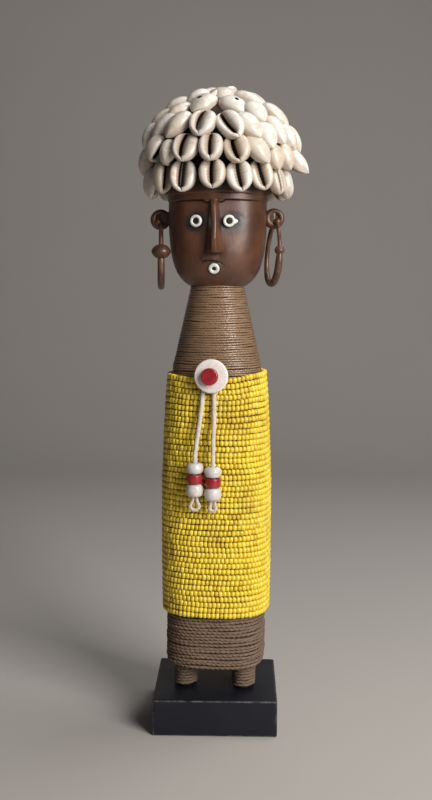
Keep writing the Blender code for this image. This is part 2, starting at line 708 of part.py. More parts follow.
def make_button(figure):
    """The white disc on the skirt's top edge, with the red button on it."""
    height = SKIRT_TOP + DISC_ABOVE_SKIRT
    widest_share = 1 - (DISC_DIAMETER / 2 - DISC_ABOVE_SKIRT) / SKIRT_HEIGHT
    skirt_front = trunk_front(widest_share, FIT_GAP + BEAD_DIAMETER)
    back = -(skirt_front + DISC_STANDOFF + CORD_DIAMETER)
    forward = Matrix.Rotation(PI / 2, 4, "X")
    disc_frame = Matrix.Translation((0, back - DISC_THICKNESS / 2, height)) @ forward
    disc_mesh = cylinder("breast_disc", DISC_DIAMETER, DISC_THICKNESS, DISC_SIDES, disc_frame)
    disc = place("breast_disc", disc_mesh, paint("white_disc", (0.74, 0.7, 0.66), 0.6), figure)
    button_y = back - DISC_THICKNESS - FIT_GAP - BUTTON_THICKNESS / 2
    button_frame = Matrix.Translation((BUTTON_OFFSET, button_y, height)) @ forward
    button_mesh = cylinder("breast_button", BUTTON_DIAMETER, BUTTON_THICKNESS, INLAY_SIDES, button_frame)
    red = paint("red_bead", (0.42, 0.015, 0.025), 0.4)
    button = place("breast_button", button_mesh, red, figure)
    for obj in (disc, button):
        bevel = obj.modifiers.new("eased edges", "BEVEL")
        bevel.width = BUTTON_EDGE
        bevel.segments = 1
        bevel.limit_method = "ANGLE"


def cord_points(label):
    return [Vector(point) * MM for point in CORD_ROUTES[label]]


def tube(name, points, diameter, material, parent):
    curve = bpy.data.curves.new(name, "CURVE")
    curve.dimensions = "3D"
    curve.bevel_depth = diameter / 2
    curve.bevel_resolution = 2
    curve.use_fill_caps = True
    spline = curve.splines.new("POLY")
    spline.points.add(len(points) - 1)
    for spot, point in zip(spline.points, points):
        spot.co = (*point, 1)
    curve.materials.append(material)
    obj = bpy.data.objects.new(name, curve)
    doll_collection.objects.link(obj)
    obj.parent = parent
    return obj


def make_pendant(label, figure):
    """A cord from behind the disc, three beads threaded on it, and the loop folded at its end."""
    white = paint(f"pendant_white_{label}", (0.72, 0.72, 0.68), 0.3)
    red = paint(f"pendant_red_{label}", (0.42, 0.015, 0.025), 0.35)
    cloth = paint(f"cord_{label}", (0.66, 0.6, 0.52), 0.8)
    points = cord_points(label)
    tube(f"cord_{label}", points, CORD_DIAMETER, cloth, figure)

    end = points[-1]
    bore = CORD_DIAMETER / 2 + FIT_GAP
    floor = end.z - FIT_GAP
    for part in ("bottom", "middle", "top"):
        width = RED_BEAD_WIDTH if part == "middle" else PENDANT_WIDTH
        rounding = RED_BEAD_EASE if part == "middle" else PENDANT_EASE
        shoulder = width / 2 - EASE_SLOPE * rounding
        tall = PENDANT_HEIGHTS[part]
        profile = [
            (shoulder, tall), (width / 2, tall - rounding), (width / 2, rounding),
            (shoulder, 0), (bore, 0), (bore, tall),
        ]
        material = red if part == "middle" else white
        bead = place(f"pendant_{label}_{part}", turned("pendant", profile, BEAD_SIDES), material, figure)
        bead.location = (end.x, end.y, floor)
        floor += tall + FIT_GAP

    tube(f"cord_loop_{label}", loop_points(label, end), LOOP_STRAND, cloth, figure)


def loop_points(label, end):
    """Two legs side by side under the beads, spread a little, and the round fold that joins them."""
    top = end - Vector((0, 0, 2 * FIT_GAP))
    leg_apart = (LOOP_STRAND + FIT_GAP) / 2
    fold = LOOP_SPREAD[label] / 2
    leg = LOOP_LENGTH[label] - LOOP_STRAND / 2 - fold
    route = [top + Vector((-leg_apart, 0, 0))]
    for i in range(LOOP_STEPS + 1):
        swing = PI * i / LOOP_STEPS
        route.append(top + Vector((-fold * math.cos(swing), 0, -leg - fold * math.sin(swing))))
    route.append(top + Vector((leg_apart, 0, 0)))
    return route


def make_doll():
    figure = bpy.data.objects.new("figure", None)
    doll_collection.objects.link(figure)
    figure.location = (0, 0, PLINTH_HEIGHT + FIT_GAP)
    figure.rotation_euler = (0, 0, FIGURE_TURN)
    make_plinth()
    make_wound_body(figure)
    make_skirt(figure)
    make_head(figure)
    make_inlays(figure)
    for label, side in (("left", -1), ("right", 1)):
        make_hoop(label, side, figure)
        make_pendant(label, figure)
    make_wig(figure)
    make_button(figure)


doll_collection, cutter_collection = clear_scene()
make_doll()
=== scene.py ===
import math
import random

import bmesh
import bpy
from mathutils import Matrix, Vector, noise


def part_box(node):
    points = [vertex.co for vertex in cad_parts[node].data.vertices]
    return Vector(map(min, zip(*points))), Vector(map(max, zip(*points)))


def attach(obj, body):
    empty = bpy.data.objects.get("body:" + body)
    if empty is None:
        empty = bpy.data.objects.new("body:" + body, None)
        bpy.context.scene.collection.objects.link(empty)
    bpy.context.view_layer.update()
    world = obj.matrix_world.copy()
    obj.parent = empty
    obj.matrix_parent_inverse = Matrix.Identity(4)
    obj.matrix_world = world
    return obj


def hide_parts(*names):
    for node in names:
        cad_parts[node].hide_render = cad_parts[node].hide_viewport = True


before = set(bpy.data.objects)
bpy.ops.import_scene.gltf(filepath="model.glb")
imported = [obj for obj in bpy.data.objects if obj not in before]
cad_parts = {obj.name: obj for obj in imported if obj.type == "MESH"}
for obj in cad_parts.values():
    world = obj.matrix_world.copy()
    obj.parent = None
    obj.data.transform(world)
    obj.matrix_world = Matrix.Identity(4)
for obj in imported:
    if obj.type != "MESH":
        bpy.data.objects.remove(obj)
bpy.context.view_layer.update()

# Every shape is drawn in millimetres, standing on the plinth and looking along -Y
figure = {"turn": -5, "ground": 23.8}
drawing = Matrix.Scale(0.001, 4)
figureTurn = Matrix.Rotation(math.radians(figure["turn"]), 4, "Z")
figureFrame = drawing @ Matrix.Translation((0, 0, figure["ground"])) @ figureTurn
scene = bpy.context.scene
fullTurn = 2 * math.pi


def mix(low, high, share):
    return low + (high - low) * share


def ease(low, high, value):  # smooth 0 to 1 between two values
    share = min(max((value - low) / (high - low), 0), 1)
    return share * share * (3 - 2 * share)


def bump(distance, width):  # rounded hill, 1 in the middle and 0 past the width
    share = min(abs(distance) / width, 1)
    return (1 - share * share) ** 2


def wander(*place):  # smooth noise, -1 to 1
    return noise.noise(Vector(place))


def pieceFrom(shape, name, material, placed=figureFrame, angle=None):
    bmesh.ops.recalc_face_normals(shape, faces=shape.faces)
    mesh = meshOf(shape, name)
    mesh.transform(placed)
    mesh.shade_smooth()
    if angle:
        mesh.set_sharp_from_angle(angle=math.radians(angle))
    mesh.materials.append(material)
    return linked(name, mesh)


def evaluated(source):  # the mesh that the object's modifiers make
    bpy.context.view_layer.update()
    graph = bpy.context.evaluated_depsgraph_get()
    return bpy.data.meshes.new_from_object(source.evaluated_get(graph))


def finished(source, name):  # the evaluated object as a plain mesh piece
    mesh = evaluated(source)
    mesh.name = name
    mesh.transform(figureFrame)
    bpy.data.objects.remove(source)
    return linked(name, mesh)


def settle(piece, node):  # hides the CAD node that a piece stands for and hangs the piece on the root body
    if node:
        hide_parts(node)
    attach(piece, "root")


def rotated(degrees, axis):
    return Matrix.Rotation(math.radians(degrees), 4, axis)


def turnsOf(sides):
    return [fullTurn * i / sides for i in range(sides)]


def polar(radius, turn, height=0.0):
    return Vector((radius * math.cos(turn), radius * math.sin(turn), height))


def skin(rings, closed=False):  # surface over rings that have the same number of points
    shape = bmesh.new()
    loops = [[shape.verts.new(point) for point in ring] for ring in rings]
    for lower, upper in zip(loops, loops[1:] + loops[:1] if closed else loops[1:]):
        for i in range(len(lower)):
            j = (i + 1) % len(lower)
            shape.faces.new((lower[i], lower[j], upper[j], upper[i]))
    if not closed:
        shape.faces.new(list(reversed(loops[0])))
        shape.faces.new(loops[-1])
    return shape


def spun(profile, sides, bored=False):  # turned from (radius, height) points; a bored one has a hole through it
    rings = [[polar(radius, turn, height) for turn in turnsOf(sides)] for radius, height in profile]
    return skin(rings, closed=bored)


def globe(radius, around, across):
    shape = bmesh.new()
    bmesh.ops.create_uvsphere(shape, u_segments=around, v_segments=across, radius=radius)
    return shape


def meshOf(shape, name):
    mesh = bpy.data.meshes.new(name)
    shape.to_mesh(mesh)
    shape.free()
    return mesh


def linked(name, data):
    made = bpy.data.objects.new(name, data)
    scene.collection.objects.link(made)
    return made


# Nodes

def addNode(tree, kind, inputs, **settings):  # each input is a plain value or another node's output
    node = tree.nodes.new(kind)
    for label, value in settings.items():
        setattr(node, label, value)
    for label, value in inputs.items():
        if isinstance(value, bpy.types.NodeSocket):
            tree.links.new(value, node.inputs[label])
        else:
            node.inputs[label].default_value = value
    return node


def applyNodes(source, tree, values):
    modifier = source.modifiers.new(tree.name, "NODES")
    modifier.node_group = tree
    for item in tree.interface.items_tree:
        if item.in_out == "INPUT" and item.name in values:
            modifier[item.identifier] = values[item.name]


def newTree(name, sockets):
    tree = bpy.data.node_groups.new(name, "GeometryNodeTree")
    tree.interface.new_socket(name="Geometry", in_out="INPUT", socket_type="NodeSocketGeometry")
    for label, kind, value in sockets:
        socket = tree.interface.new_socket(name=label, in_out="INPUT", socket_type="NodeSocket" + kind)
        if value is not None:
            socket.default_value = value
    tree.interface.new_socket(name="Geometry", in_out="OUTPUT", socket_type="NodeSocketGeometry")
    return tree, tree.nodes.new("NodeGroupInput").outputs


def endTree(tree, given, shape):  # plain geometry, in the finish that the tree is given
    realize = addNode(tree, "GeometryNodeRealizeInstances", {"Geometry": shape})
    finish = addNode(tree, "GeometryNodeSetMaterial", {
        "Geometry": realize.outputs["Geometry"], "Material": given["finish"],
    })
    addNode(tree, "NodeGroupOutput", {"Geometry": finish.outputs["Geometry"]})
    return tree


def sewingTree():  # copies of the masters on seats that carry their turn, size and kind
    tree, given = newTree("sewn on seats", [
        ("masters", "Collection", None),
        ("size", "Float", 1.0),
        ("sizeSpread", "Float", 0.05),
        ("seed", "Int", 1),
        ("finish", "Material", None),
    ])
    reads = {}
    for label, kind in (("turn", "FLOAT_VECTOR"), ("stretch", "FLOAT_VECTOR"), ("kind", "INT")):
        node = addNode(tree, "GeometryNodeInputNamedAttribute", {"Name": label}, data_type=kind)
        reads[label] = node.outputs["Attribute"]
    masters = addNode(tree, "GeometryNodeCollectionInfo", {
        "Collection": given["masters"], "Separate Children": True, "Reset Children": True,
    })
    turned = addNode(tree, "FunctionNodeEulerToRotation", {"Euler": reads["turn"]})
    low, high = (
        addNode(tree, "ShaderNodeMath", {0: given["size"], 1: given["sizeSpread"]}, operation=way).outputs[0]
        for way in ("SUBTRACT", "ADD")
    )
    spread = {2: low, 3: high, "Seed": given["seed"]}
    sizes = addNode(tree, "FunctionNodeRandomValue", spread, data_type="FLOAT")
    grown = addNode(tree, "ShaderNodeVectorMath", {
        0: reads["stretch"], "Scale": sizes.outputs[1],
    }, operation="SCALE")
    sew = addNode(tree, "GeometryNodeInstanceOnPoints", {
        "Points": given["Geometry"], "Instance": masters.outputs["Instances"], "Pick Instance": True,
        "Instance Index": reads["kind"], "Rotation": turned.outputs["Rotation"],
        "Scale": grown.outputs["Vector"],
    })
    tint = addNode(tree, "FunctionNodeRandomValue", {"Seed": given["seed"]}, data_type="FLOAT")
    store = addNode(tree, "GeometryNodeStoreNamedAttribute", {
        "Geometry": sew.outputs["Instances"], "Name": "tint", "Value": tint.outputs[1],
    }, data_type="FLOAT", domain="INSTANCE")
    return endTree(tree, given, store.outputs["Geometry"])


def windingTree():  # twisted strand swept along a path
    tree, given = newTree("wound strand", [
        ("thickness", "Float", 2.0),
        ("flatness", "Float", 0.8),
        ("twistLength", "Float", 6.0),
        ("sides", "Int", 8),
        ("finish", "Material", None),
    ])
    place = addNode(tree, "GeometryNodeSplineParameter", {})
    turns = addNode(tree, "ShaderNodeMath", {
        0: place.outputs["Length"], 1: given["twistLength"],
    }, operation="DIVIDE")
    angle = addNode(tree, "ShaderNodeMath", {0: turns.outputs[0], 1: fullTurn}, operation="MULTIPLY")
    tilt = addNode(tree, "GeometryNodeSetCurveTilt", {"Curve": given["Geometry"], "Tilt": angle.outputs[0]})
    radius = addNode(tree, "ShaderNodeMath", {0: given["thickness"], 1: 0.5}, operation="MULTIPLY")
    ring = addNode(tree, "GeometryNodeCurvePrimitiveCircle", {
        "Resolution": given["sides"], "Radius": radius.outputs[0],
    })
    flat = addNode(tree, "ShaderNodeCombineXYZ", {"X": 1.0, "Y": given["flatness"], "Z": 1.0})
    oval = addNode(tree, "GeometryNodeTransform", {
        "Geometry": ring.outputs["Curve"], "Scale": flat.outputs["Vector"],
    })
    sweep = addNode(tree, "GeometryNodeCurveToMesh", {
        "Curve": tilt.outputs["Curve"], "Profile Curve": oval.outputs["Geometry"], "Fill Caps": True,
    })
    smooth = addNode(tree, "GeometryNodeSetShadeSmooth", {"Geometry": sweep.outputs["Mesh"]})
    return endTree(tree, given, smooth.outputs["Geometry"])


class Paint:  # a Principled material and the few nodes that all of them share
    def __init__(self, name, roughness=0.5, **fixed):
        self.material = bpy.data.materials.new(name)
        self.material.use_nodes = True
        self.tree = self.material.node_tree
        self.link = self.tree.links.new
        self.shader = self.tree.nodes["Principled BSDF"]
        self.shader.inputs["Roughness"].default_value = roughness
        for label, value in fixed.items():
            self.shader.inputs[label].default_value = value
        self.place = self.tree.nodes.new("ShaderNodeTexCoord").outputs["Object"]

    def stretched(self, x, y, z, place=None):
        mapping = {"Vector": place or self.place, "Scale": (x, y, z)}
        return addNode(self.tree, "ShaderNodeMapping", mapping).outputs["Vector"]

    def clouds(self, scale, detail=4.0, roughness=0.6, place=None, distortion=0.0):
        return addNode(self.tree, "ShaderNodeTexNoise", {
            "Vector": place or self.place, "Scale": scale, "Detail": detail, "Roughness": roughness,
            "Distortion": distortion,
        }).outputs["Fac"]

    def cells(self, scale):
        node = addNode(self.tree, "ShaderNodeTexVoronoi", {"Vector": self.place, "Scale": scale})
        return node.outputs["Distance"]

    def reading(self, name, output="Fac"):
        return addNode(self.tree, "ShaderNodeAttribute", {}, attribute_name=name).outputs[output]

    def ramp(self, value, *stops):
        node = addNode(self.tree, "ShaderNodeValToRGB", {"Fac": value})
        while len(node.color_ramp.elements) < len(stops):
            node.color_ramp.elements.new(0.5)
        for element, (place, colour) in zip(node.color_ramp.elements, stops):
            element.position = place
            element.color = (*colour, 1) if isinstance(colour, tuple) else (colour, colour, colour, 1)
        return node.outputs["Color"]

    def maths(self, operation, first, second=0.5, clamp=False):
        terms = {0: first, 1: second}
        node = addNode(self.tree, "ShaderNodeMath", terms, operation=operation, use_clamp=clamp)
        return node.outputs[0]

    def blend(self, share, low, high):
        node = addNode(self.tree, "ShaderNodeMix", {}, data_type="RGBA")
        sockets = {socket.identifier: socket for socket in (*node.inputs, *node.outputs)}
        for label, value in (("Factor_Float", share), ("A_Color", low), ("B_Color", high)):
            if isinstance(value, bpy.types.NodeSocket):
                self.link(value, sockets[label])
            else:
                sockets[label].default_value = (*value, 1) if isinstance(value, tuple) else value
        return sockets["Result_Color"]

    def near(self, point, reach):  # 1 at a point of the model, 0 past the reach, given for each axis
        mapping = addNode(self.tree, "ShaderNodeMapping", {}, vector_type="TEXTURE")
        self.link(self.place, mapping.inputs["Vector"])
        mapping.inputs["Location"].default_value = point
        mapping.inputs["Scale"].default_value = reach
        length = addNode(self.tree, "ShaderNodeVectorMath", {0: mapping.outputs["Vector"]}, operation="LENGTH")
        return self.maths("SUBTRACT", 1.0, length.outputs["Value"], clamp=True)

    def axis(self, label):
        return addNode(self.tree, "ShaderNodeSeparateXYZ", {"Vector": self.place}).outputs[label]

    def colour(self, value):
        self.link(value, self.shader.inputs["Base Color"])

    def rough(self, value):
        self.link(value, self.shader.inputs["Roughness"])

    def relief(self, height, strength, distance):
        inputs = {"Strength": strength, "Distance": distance, "Height": height}
        node = addNode(self.tree, "ShaderNodeBump", inputs)
        self.link(node.outputs["Normal"], self.shader.inputs["Normal"])


sewing = sewingTree()
winding = windingTree()

# Camera, at the photograph's viewing angle
view = {"place": (0.01435, -0.71623, 0.29358), "pitch": 6.45, "yaw": -1.21, "roll": 0.22, "lens": 49.5}


def addCamera():
    pitch, yaw, roll = (math.radians(view[label]) for label in ("pitch", "yaw", "roll"))
    forward = Vector((math.sin(yaw) * math.cos(pitch), math.cos(yaw) * math.cos(pitch), -math.sin(pitch)))
    right = Vector((math.cos(yaw), -math.sin(yaw), 0))
    up = right.cross(forward)
    side = right * math.cos(roll) + up * math.sin(roll)
    top = up * math.cos(roll) - right * math.sin(roll)
    data = bpy.data.cameras.new("camera")
    data.lens = view["lens"]
    data.sensor_width = 36
    data.clip_start = 0.01
    camera = linked("camera", data)
    rotation = Matrix((side, top, -forward)).transposed()
    camera.matrix_world = Matrix.Translation(view["place"]) @ rotation.to_4x4()
    scene.camera = camera


addCamera()

# Pendant cords, along the route that the CAD gives them
cords = {
    "diameter": 2.9,
    "colour": (0.78, 0.71, 0.62),
    "routes": {
        "left": [
            (-4.8, -32.2, 206.2), (-5.1, -32.3, 201.5), (-5.6, -32.7, 195.0), (-6.2, -33.6, 188.0),
            (-6.9, -34.8, 181.0), (-7.7, -36.2, 174.0), (-8.6, -37.6, 167.0), (-9.4, -38.9, 160.5),
            (-9.7, -39.3, 156.0), (-9.7, -39.3, 150.0), (-9.7, -39.3, 144.0), (-9.7, -39.3, 138.0),
            (-9.7, -39.3, 132.4),
        ],
        "right": [
            (1.5, -32.2, 206.2), (1.5, -32.3, 201.5), (1.6, -32.7, 195.0), (1.7, -33.6, 188.0),
            (1.8, -34.8, 181.0), (1.8, -36.2, 174.0), (1.7, -37.6, 167.0), (1.7, -38.9, 160.0),
            (1.7, -39.3, 154.5), (1.7, -39.3, 148.5), (1.7, -39.3, 142.5), (1.7, -39.3, 136.5),
            (1.7, -39.3, 130.2),
        ],
    },
}


def cordCloth():
    paint = Paint("whiteCord", 0.85, **{"Sheen Weight": 0.3})
    weave = paint.clouds(1900, 3, 0.7)
    soil = paint.clouds(160, 4)
    cloth = paint.blend(paint.ramp(weave, (0.35, 0.0), (0.7, 1.0)), (0.5, 0.43, 0.35), cords["colour"])
    paint.colour(paint.blend(paint.ramp(soil, (0.45, 0.0), (0.75, 0.5)), cloth, (0.42, 0.34, 0.26)))
    paint.relief(weave, 0.6, 0.0004)
    return paint.material


def between(points, steps):  # smooth curve through the points
    smooth = []
    for i in range(len(points) - 1):
        before, start = points[max(i - 1, 0)], points[i]
        end, after = points[i + 1], points[min(i + 2, len(points) - 1)]
        for j in range(steps):
            t = j / steps
            smooth.append(
                0.5 * (2 * start + (end - before) * t + (2 * before - 5 * start + 4 * end - after) * t * t
                       + (3 * start - before - 3 * end + after) * t**3)
            )
    smooth.append(points[-1].copy())
    return smooth


def hose(points, radiusAt, sides):  # round section carried along the points, with rounded ends
    rings = []
    side = Vector((1, 0, 0))
    for i, point in enumerate(points):
        ahead = (points[min(i + 1, len(points) - 1)] - points[max(i - 1, 0)]).normalized()
        side = (side - ahead * side.dot(ahead)).normalized()
        other = ahead.cross(side)
        ring = []
        for turn in turnsOf(sides):
            reach = radiusAt(i / (len(points) - 1), turn)
            ring.append(point + (side * math.cos(turn) + other * math.sin(turn)) * reach)
        rings.append(ring)
    return skin(rings)


def makeCord(label, cloth):
    route = between([Vector(point) for point in cords["routes"][label]], 4)
    half = cords["diameter"] / 2

    def reach(share, turn):
        strand = 0.06 * math.cos(3 * turn + share * 60)
        return half * (0.97 + strand + 0.05 * wander(share * 30, turn, 3))

    cord = pieceFrom(hose(route, reach, 16), f"pendantCord_{label}", cloth)
    path = [figureFrame @ point for point in route]
    return cord, path


# Beads on the cords
pendants = {
    "width": 10.5,
    "redWidth": 9.7,
    "heights": {"bottom": 8.2, "middle": 5.7, "top": 7.0},
    "gap": 0.3,
    "bore": 1.75,
    "white": (0.72, 0.70, 0.655),
    "red": (0.40, 0.018, 0.026),
    "loopStrand": 2.3,
    "loopLength": {"left": 9.4, "right": 7.6},
    "loopSpread": {"left": 5.6, "right": 3.8},
}


def glazed(name, colour, deep):
    paint = Paint(name, 0.3, **{"Coat Weight": 0.35, "Coat Roughness": 0.12})
    soft = paint.clouds(260, 5)
    body = paint.blend(paint.ramp(soft, (0.35, 0.0), (0.7, 1.0)), deep, colour)
    specks = paint.ramp(paint.cells(900), (0.05, 1.0), (0.16, 0.0))
    worn = paint.maths("MULTIPLY", specks, paint.clouds(90, 2))
    paint.colour(paint.blend(worn, body, tuple(c * 0.35 for c in deep)))
    paint.rough(paint.ramp(paint.clouds(420, 4), (0.3, 0.22), (0.75, 0.48)))
    paint.relief(soft, 0.25, 0.0004)
    return paint.material


def barrel(width, height, rounding, bore):  # drilled bead, standing on z = 0
    profile = []
    outer = width / 2
    for i in range(9):
        turn = math.pi / 2 * (1 - i / 8)
        profile.append((outer - rounding * (1 - math.cos(turn)), height - rounding * (1 - math.sin(turn))))
    belly = 0.02 * width
    for share in (0.3, 0.7):
        radius = outer + belly * bump(share - 0.5, 0.6)
        profile.append((radius, height - rounding - share * (height - 2 * rounding)))
    for i in range(9):
        turn = math.pi / 2 * i / 8
        profile.append((outer - rounding * (1 - math.cos(turn)), rounding * (1 - math.sin(turn))))
    profile += [(bore + 0.5, 0.12), (bore, 0.7), (bore, height - 0.7), (bore + 0.5, height - 0.12)]
    return profile


def makePendant(label, cloth, white, red):
    cord, path = makeCord(label, cloth)
    end = Vector(cords["routes"][label][-1])
    floor = end.z - pendants["gap"]
    threaded = []
    for part, height in pendants["heights"].items():
        isRed = part == "middle"
        width = pendants["redWidth"] if isRed else pendants["width"]
        shape = spun(barrel(width, height, 0.8 if isRed else 2.6, pendants["bore"]), 40, bored=True)
        lean = Matrix.Translation((end.x, end.y, floor))
        bead = pieceFrom(shape, f"pendantBead_{label}_{part}", red if isRed else white, figureFrame @ lean)
        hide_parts(f"pendant_{label}_{part}")
        threaded.append(bead)
        floor += height + pendants["gap"]
    strand = pendants["loopStrand"]
    apart, fold = (strand + pendants["gap"]) / 2, pendants["loopSpread"][label] / 2
    leg = pendants["loopLength"][label] - strand / 2 - fold
    bends = [(-apart, 0.0), (-apart, leg * 0.35)]
    bends += [(-fold * math.cos(math.pi * i / 8), leg + fold * math.sin(math.pi * i / 8)) for i in range(9)]
    bends += [(apart, leg * 0.35), (apart, 0.0)]
    route = between([Vector((end.x + x, end.y, end.z - 2 * pendants["gap"] - drop)) for x, drop in bends], 4)

    def reach(share, turn):
        return strand / 2 * (0.96 + 0.06 * math.cos(3 * turn + share * 20) + 0.05 * wander(share * 20, turn, 7))

    loop = pieceFrom(hose(route, reach, 14), f"cordLoop_{label}", cloth)
    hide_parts(f"cord_loop_{label}")
    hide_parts(f"cord_{label}")
    for piece in (cord, loop, *threaded):
        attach(piece, "root")


cordMaterial = cordCloth()
whiteGlaze = glazed("whiteGlaze", pendants["white"], (0.55, 0.51, 0.45))
redGlaze = glazed("redGlaze", pendants["red"], (0.24, 0.01, 0.015))
for label in ("left", "right"):
    makePendant(label, cordMaterial, whiteGlaze, redGlaze)
print("pendants made")

# Trunk and neck: half width, half depth and squareness at a height above the plinth
trunk = {
    "width": 63.8, "depthShare": 0.92, "bottom": 14.8, "skirtBase": 51.3, "skirtTop": 206.1, "neckHeight": 54.9,
    "neckTop": 34.4, "squareness": 2.7, "hemSquareness": 3.3, "neckSquareness": 2.1, "hemEase": 2.2,
    "swell": [(0.0, 0.0), (0.03, 0.0), (0.09, 1.1), (1.0, 0.0)],
    "outline": [(0.0, 0.985), (0.2, 1.0), (0.55, 1.0), (0.78, 0.957), (0.9, 0.925), (1.0, 0.885)],
}


def reading(outline, share):
    for (low, value), (high, following) in zip(outline, outline[1:]):
        if share <= high:
            return mix(value, following, max(share - low, 0) / (high - low))
    return outline[-1][1]


def trunkSection(height):
    share = (height - trunk["skirtBase"]) / (trunk["skirtTop"] - trunk["skirtBase"])
    half = trunk["width"] / 2 * reading(trunk["outline"], min(max(share, 0), 1))
    power = trunk["squareness"]
    deep = half * trunk["depthShare"]
    if share > 1:
        rise = (height - trunk["skirtTop"]) / trunk["neckHeight"]
        swell = reading(trunk["swell"], rise)
        half, deep = (mix(start, trunk["neckTop"] / 2, rise) + swell for start in (half, deep))
        power = mix(trunk["squareness"], trunk["neckSquareness"], min(1, 4 * rise))
    elif share < 0:
        rise = (height - trunk["bottom"]) / (trunk["skirtBase"] - trunk["bottom"])
        power = mix(trunk["hemSquareness"], trunk["squareness"], max(rise, 0))
        tucked = trunk["hemEase"] * max(1 - (height - trunk["bottom"]) / 4.5, 0) ** 2
        half, deep = half - tucked, deep - tucked
    return half, deep, power


def onSection(section, turn, grow=0.0):  # point of a rounded-square section, grown outwards
    half, deep, power = section
    half, deep = half + grow, deep + grow
    reach = (abs(math.cos(turn) / half) ** power + abs(math.sin(turn) / deep) ** power) ** (-1 / power)
    return polar(reach, turn)


def sectionRing(section, sides, grow, level, centre=(0, 0)):
    return [onSection(section, turn, grow) + Vector((*centre, level)) for turn in turnsOf(sides)]


# Twine wound round the trunk, the neck and the feet
twine = {
    "hem": {"pitch": 2.1, "thickness": 2.5, "wave": 1.0, "stray": 0.6, "flatness": 0.72, "twist": 6.5},
    "neck": {"pitch": 1.5, "thickness": 1.7, "wave": 0.5, "stray": 0.14, "flatness": 0.9, "twist": 5.0},
    "feet": {"pitch": 2.0, "thickness": 2.3, "wave": 0.5, "stray": 0.25, "flatness": 0.85, "twist": 6.5},
    "hemLight": (0.30, 0.205, 0.135),
    "hemDark": (0.065, 0.038, 0.023),
    "neckLight": (0.42, 0.26, 0.145),
    "neckDark": (0.11, 0.06, 0.032),
}
feet = {"height": 14.8, "width": 14.0, "depth": 19.0, "spread": 38.6, "forward": 8.6}


def twineFibre(name, light, dark, roughness, gloss):
    paint = Paint(name, roughness, **{"Coat Weight": gloss, "Coat Roughness": 0.24})
    fibres = paint.clouds(1.0, 5, 0.75, paint.stretched(260, 260, 2600))
    patches = paint.clouds(70, 4, 0.6, paint.stretched(1, 1, 2.5))
    strand = paint.blend(paint.ramp(fibres, (0.3, 0.0), (0.68, 1.0)), dark, light)
    aged = paint.blend(paint.ramp(patches, (0.42, 0.0), (0.72, 0.75)), strand, tuple(c * 0.5 for c in light))
    paint.colour(aged)
    paint.rough(paint.ramp(patches, (0.3, roughness - 0.1), (0.7, min(roughness + 0.12, 1.0))))
    paint.relief(fibres, 0.7, 0.0006)
    return paint.material


def woundPath(name, low, high, sectionAt, way, centre=(0, 0), seed=0):
    turns = (high - low) / way["pitch"]
    perTurn = 132
    count = int(turns * perTurn)
    curve = bpy.data.curves.new(name, "CURVE")
    curve.dimensions = "3D"
    spline = curve.splines.new("POLY")
    spline.points.add(count)
    for i in range(count + 1):
        turn = fullTurn * i / perTurn
        level = low + (high - low) * i / count
        loose = way["wave"] * wander(1.6 * math.cos(turn) + seed, 1.6 * math.sin(turn), level * 0.42)
        level += loose + 0.35 * loose * math.sin(turn * 3 + level)
        stray = way["stray"] * wander(2.2 * math.cos(turn), 2.2 * math.sin(turn) + seed, level * 0.7)
        level = min(max(level, low), high)
        spot = onSection(sectionAt(level), turn, stray - 0.12 * way["thickness"])
        spline.points[i].co = (spot.x + centre[0], spot.y + centre[1], level, 1)
    return linked(name, curve)


def wind(name, low, high, sectionAt, way, material, centre=(0, 0), seed=0):
    source = woundPath(name + "_path", low, high, sectionAt, way, centre, seed)
    applyNodes(source, winding, {
        "thickness": way["thickness"], "flatness": way["flatness"], "twistLength": way["twist"], "sides": 8,
        "finish": material,
    })
    return finished(source, name)


def footSection(level):
    share = level / feet["height"]
    size = mix(0.9, 1.0, min(share / 0.15, 1))
    return feet["width"] / 2 * size, feet["depth"] / 2 * size, 2.1


def makeWoundBody():
    hemFibre = twineFibre("hemTwine", twine["hemLight"], twine["hemDark"], 0.72, 0.0)
    neckFibre = twineFibre("neckTwine", twine["neckLight"], twine["neckDark"], 0.34, 1.0)
    neckTop = trunk["skirtTop"] + trunk["neckHeight"] + 4.2
    levels = [15.6, 16.6, 19, 30, 51.3, 90, 136, 172, 190, 206.1, 208, 211, 220, 233, 247, 261, neckTop - 0.5]
    rings = []
    for level in levels:
        inset = -2.6 if level < 16 else -1.2
        rings.append(sectionRing(trunkSection(level), 72, inset, level))
    dark = Paint("underTwine", 0.9)
    dark.colour(dark.blend(dark.clouds(300), (0.03, 0.018, 0.01), (0.07, 0.045, 0.03)))
    core = pieceFrom(skin(rings), "windingCore", dark.material)
    low, high = trunk["bottom"] + twine["hem"]["thickness"] / 2, trunk["skirtBase"] + 3.5
    pieces = [core, wind("hemTwine", low, high, trunkSection, twine["hem"], hemFibre)]
    low, high = trunk["skirtTop"] - 6, neckTop
    pieces.append(wind("neckTwine", low, high, trunkSection, twine["neck"], neckFibre, seed=5))
    for label, side in (("left", -1), ("right", 1)):
        centre = (side * feet["spread"] / 2, -feet["forward"])
        low = twine["feet"]["thickness"] / 2
        high, seed = feet["height"] + 2, 9 + side
        foot = wind(f"footTwine_{label}", low, high, footSection, twine["feet"], hemFibre, centre, seed)
        stub = [sectionRing(footSection(level), 40, -1.2, level, centre) for level in (0.2, 1.5, 16.5)]
        pieces += [foot, pieceFrom(skin(stub), f"footCore_{label}", dark.material)]
    for piece in pieces:
        settle(piece, "wound_body")


makeWoundBody()
print("twine wound")

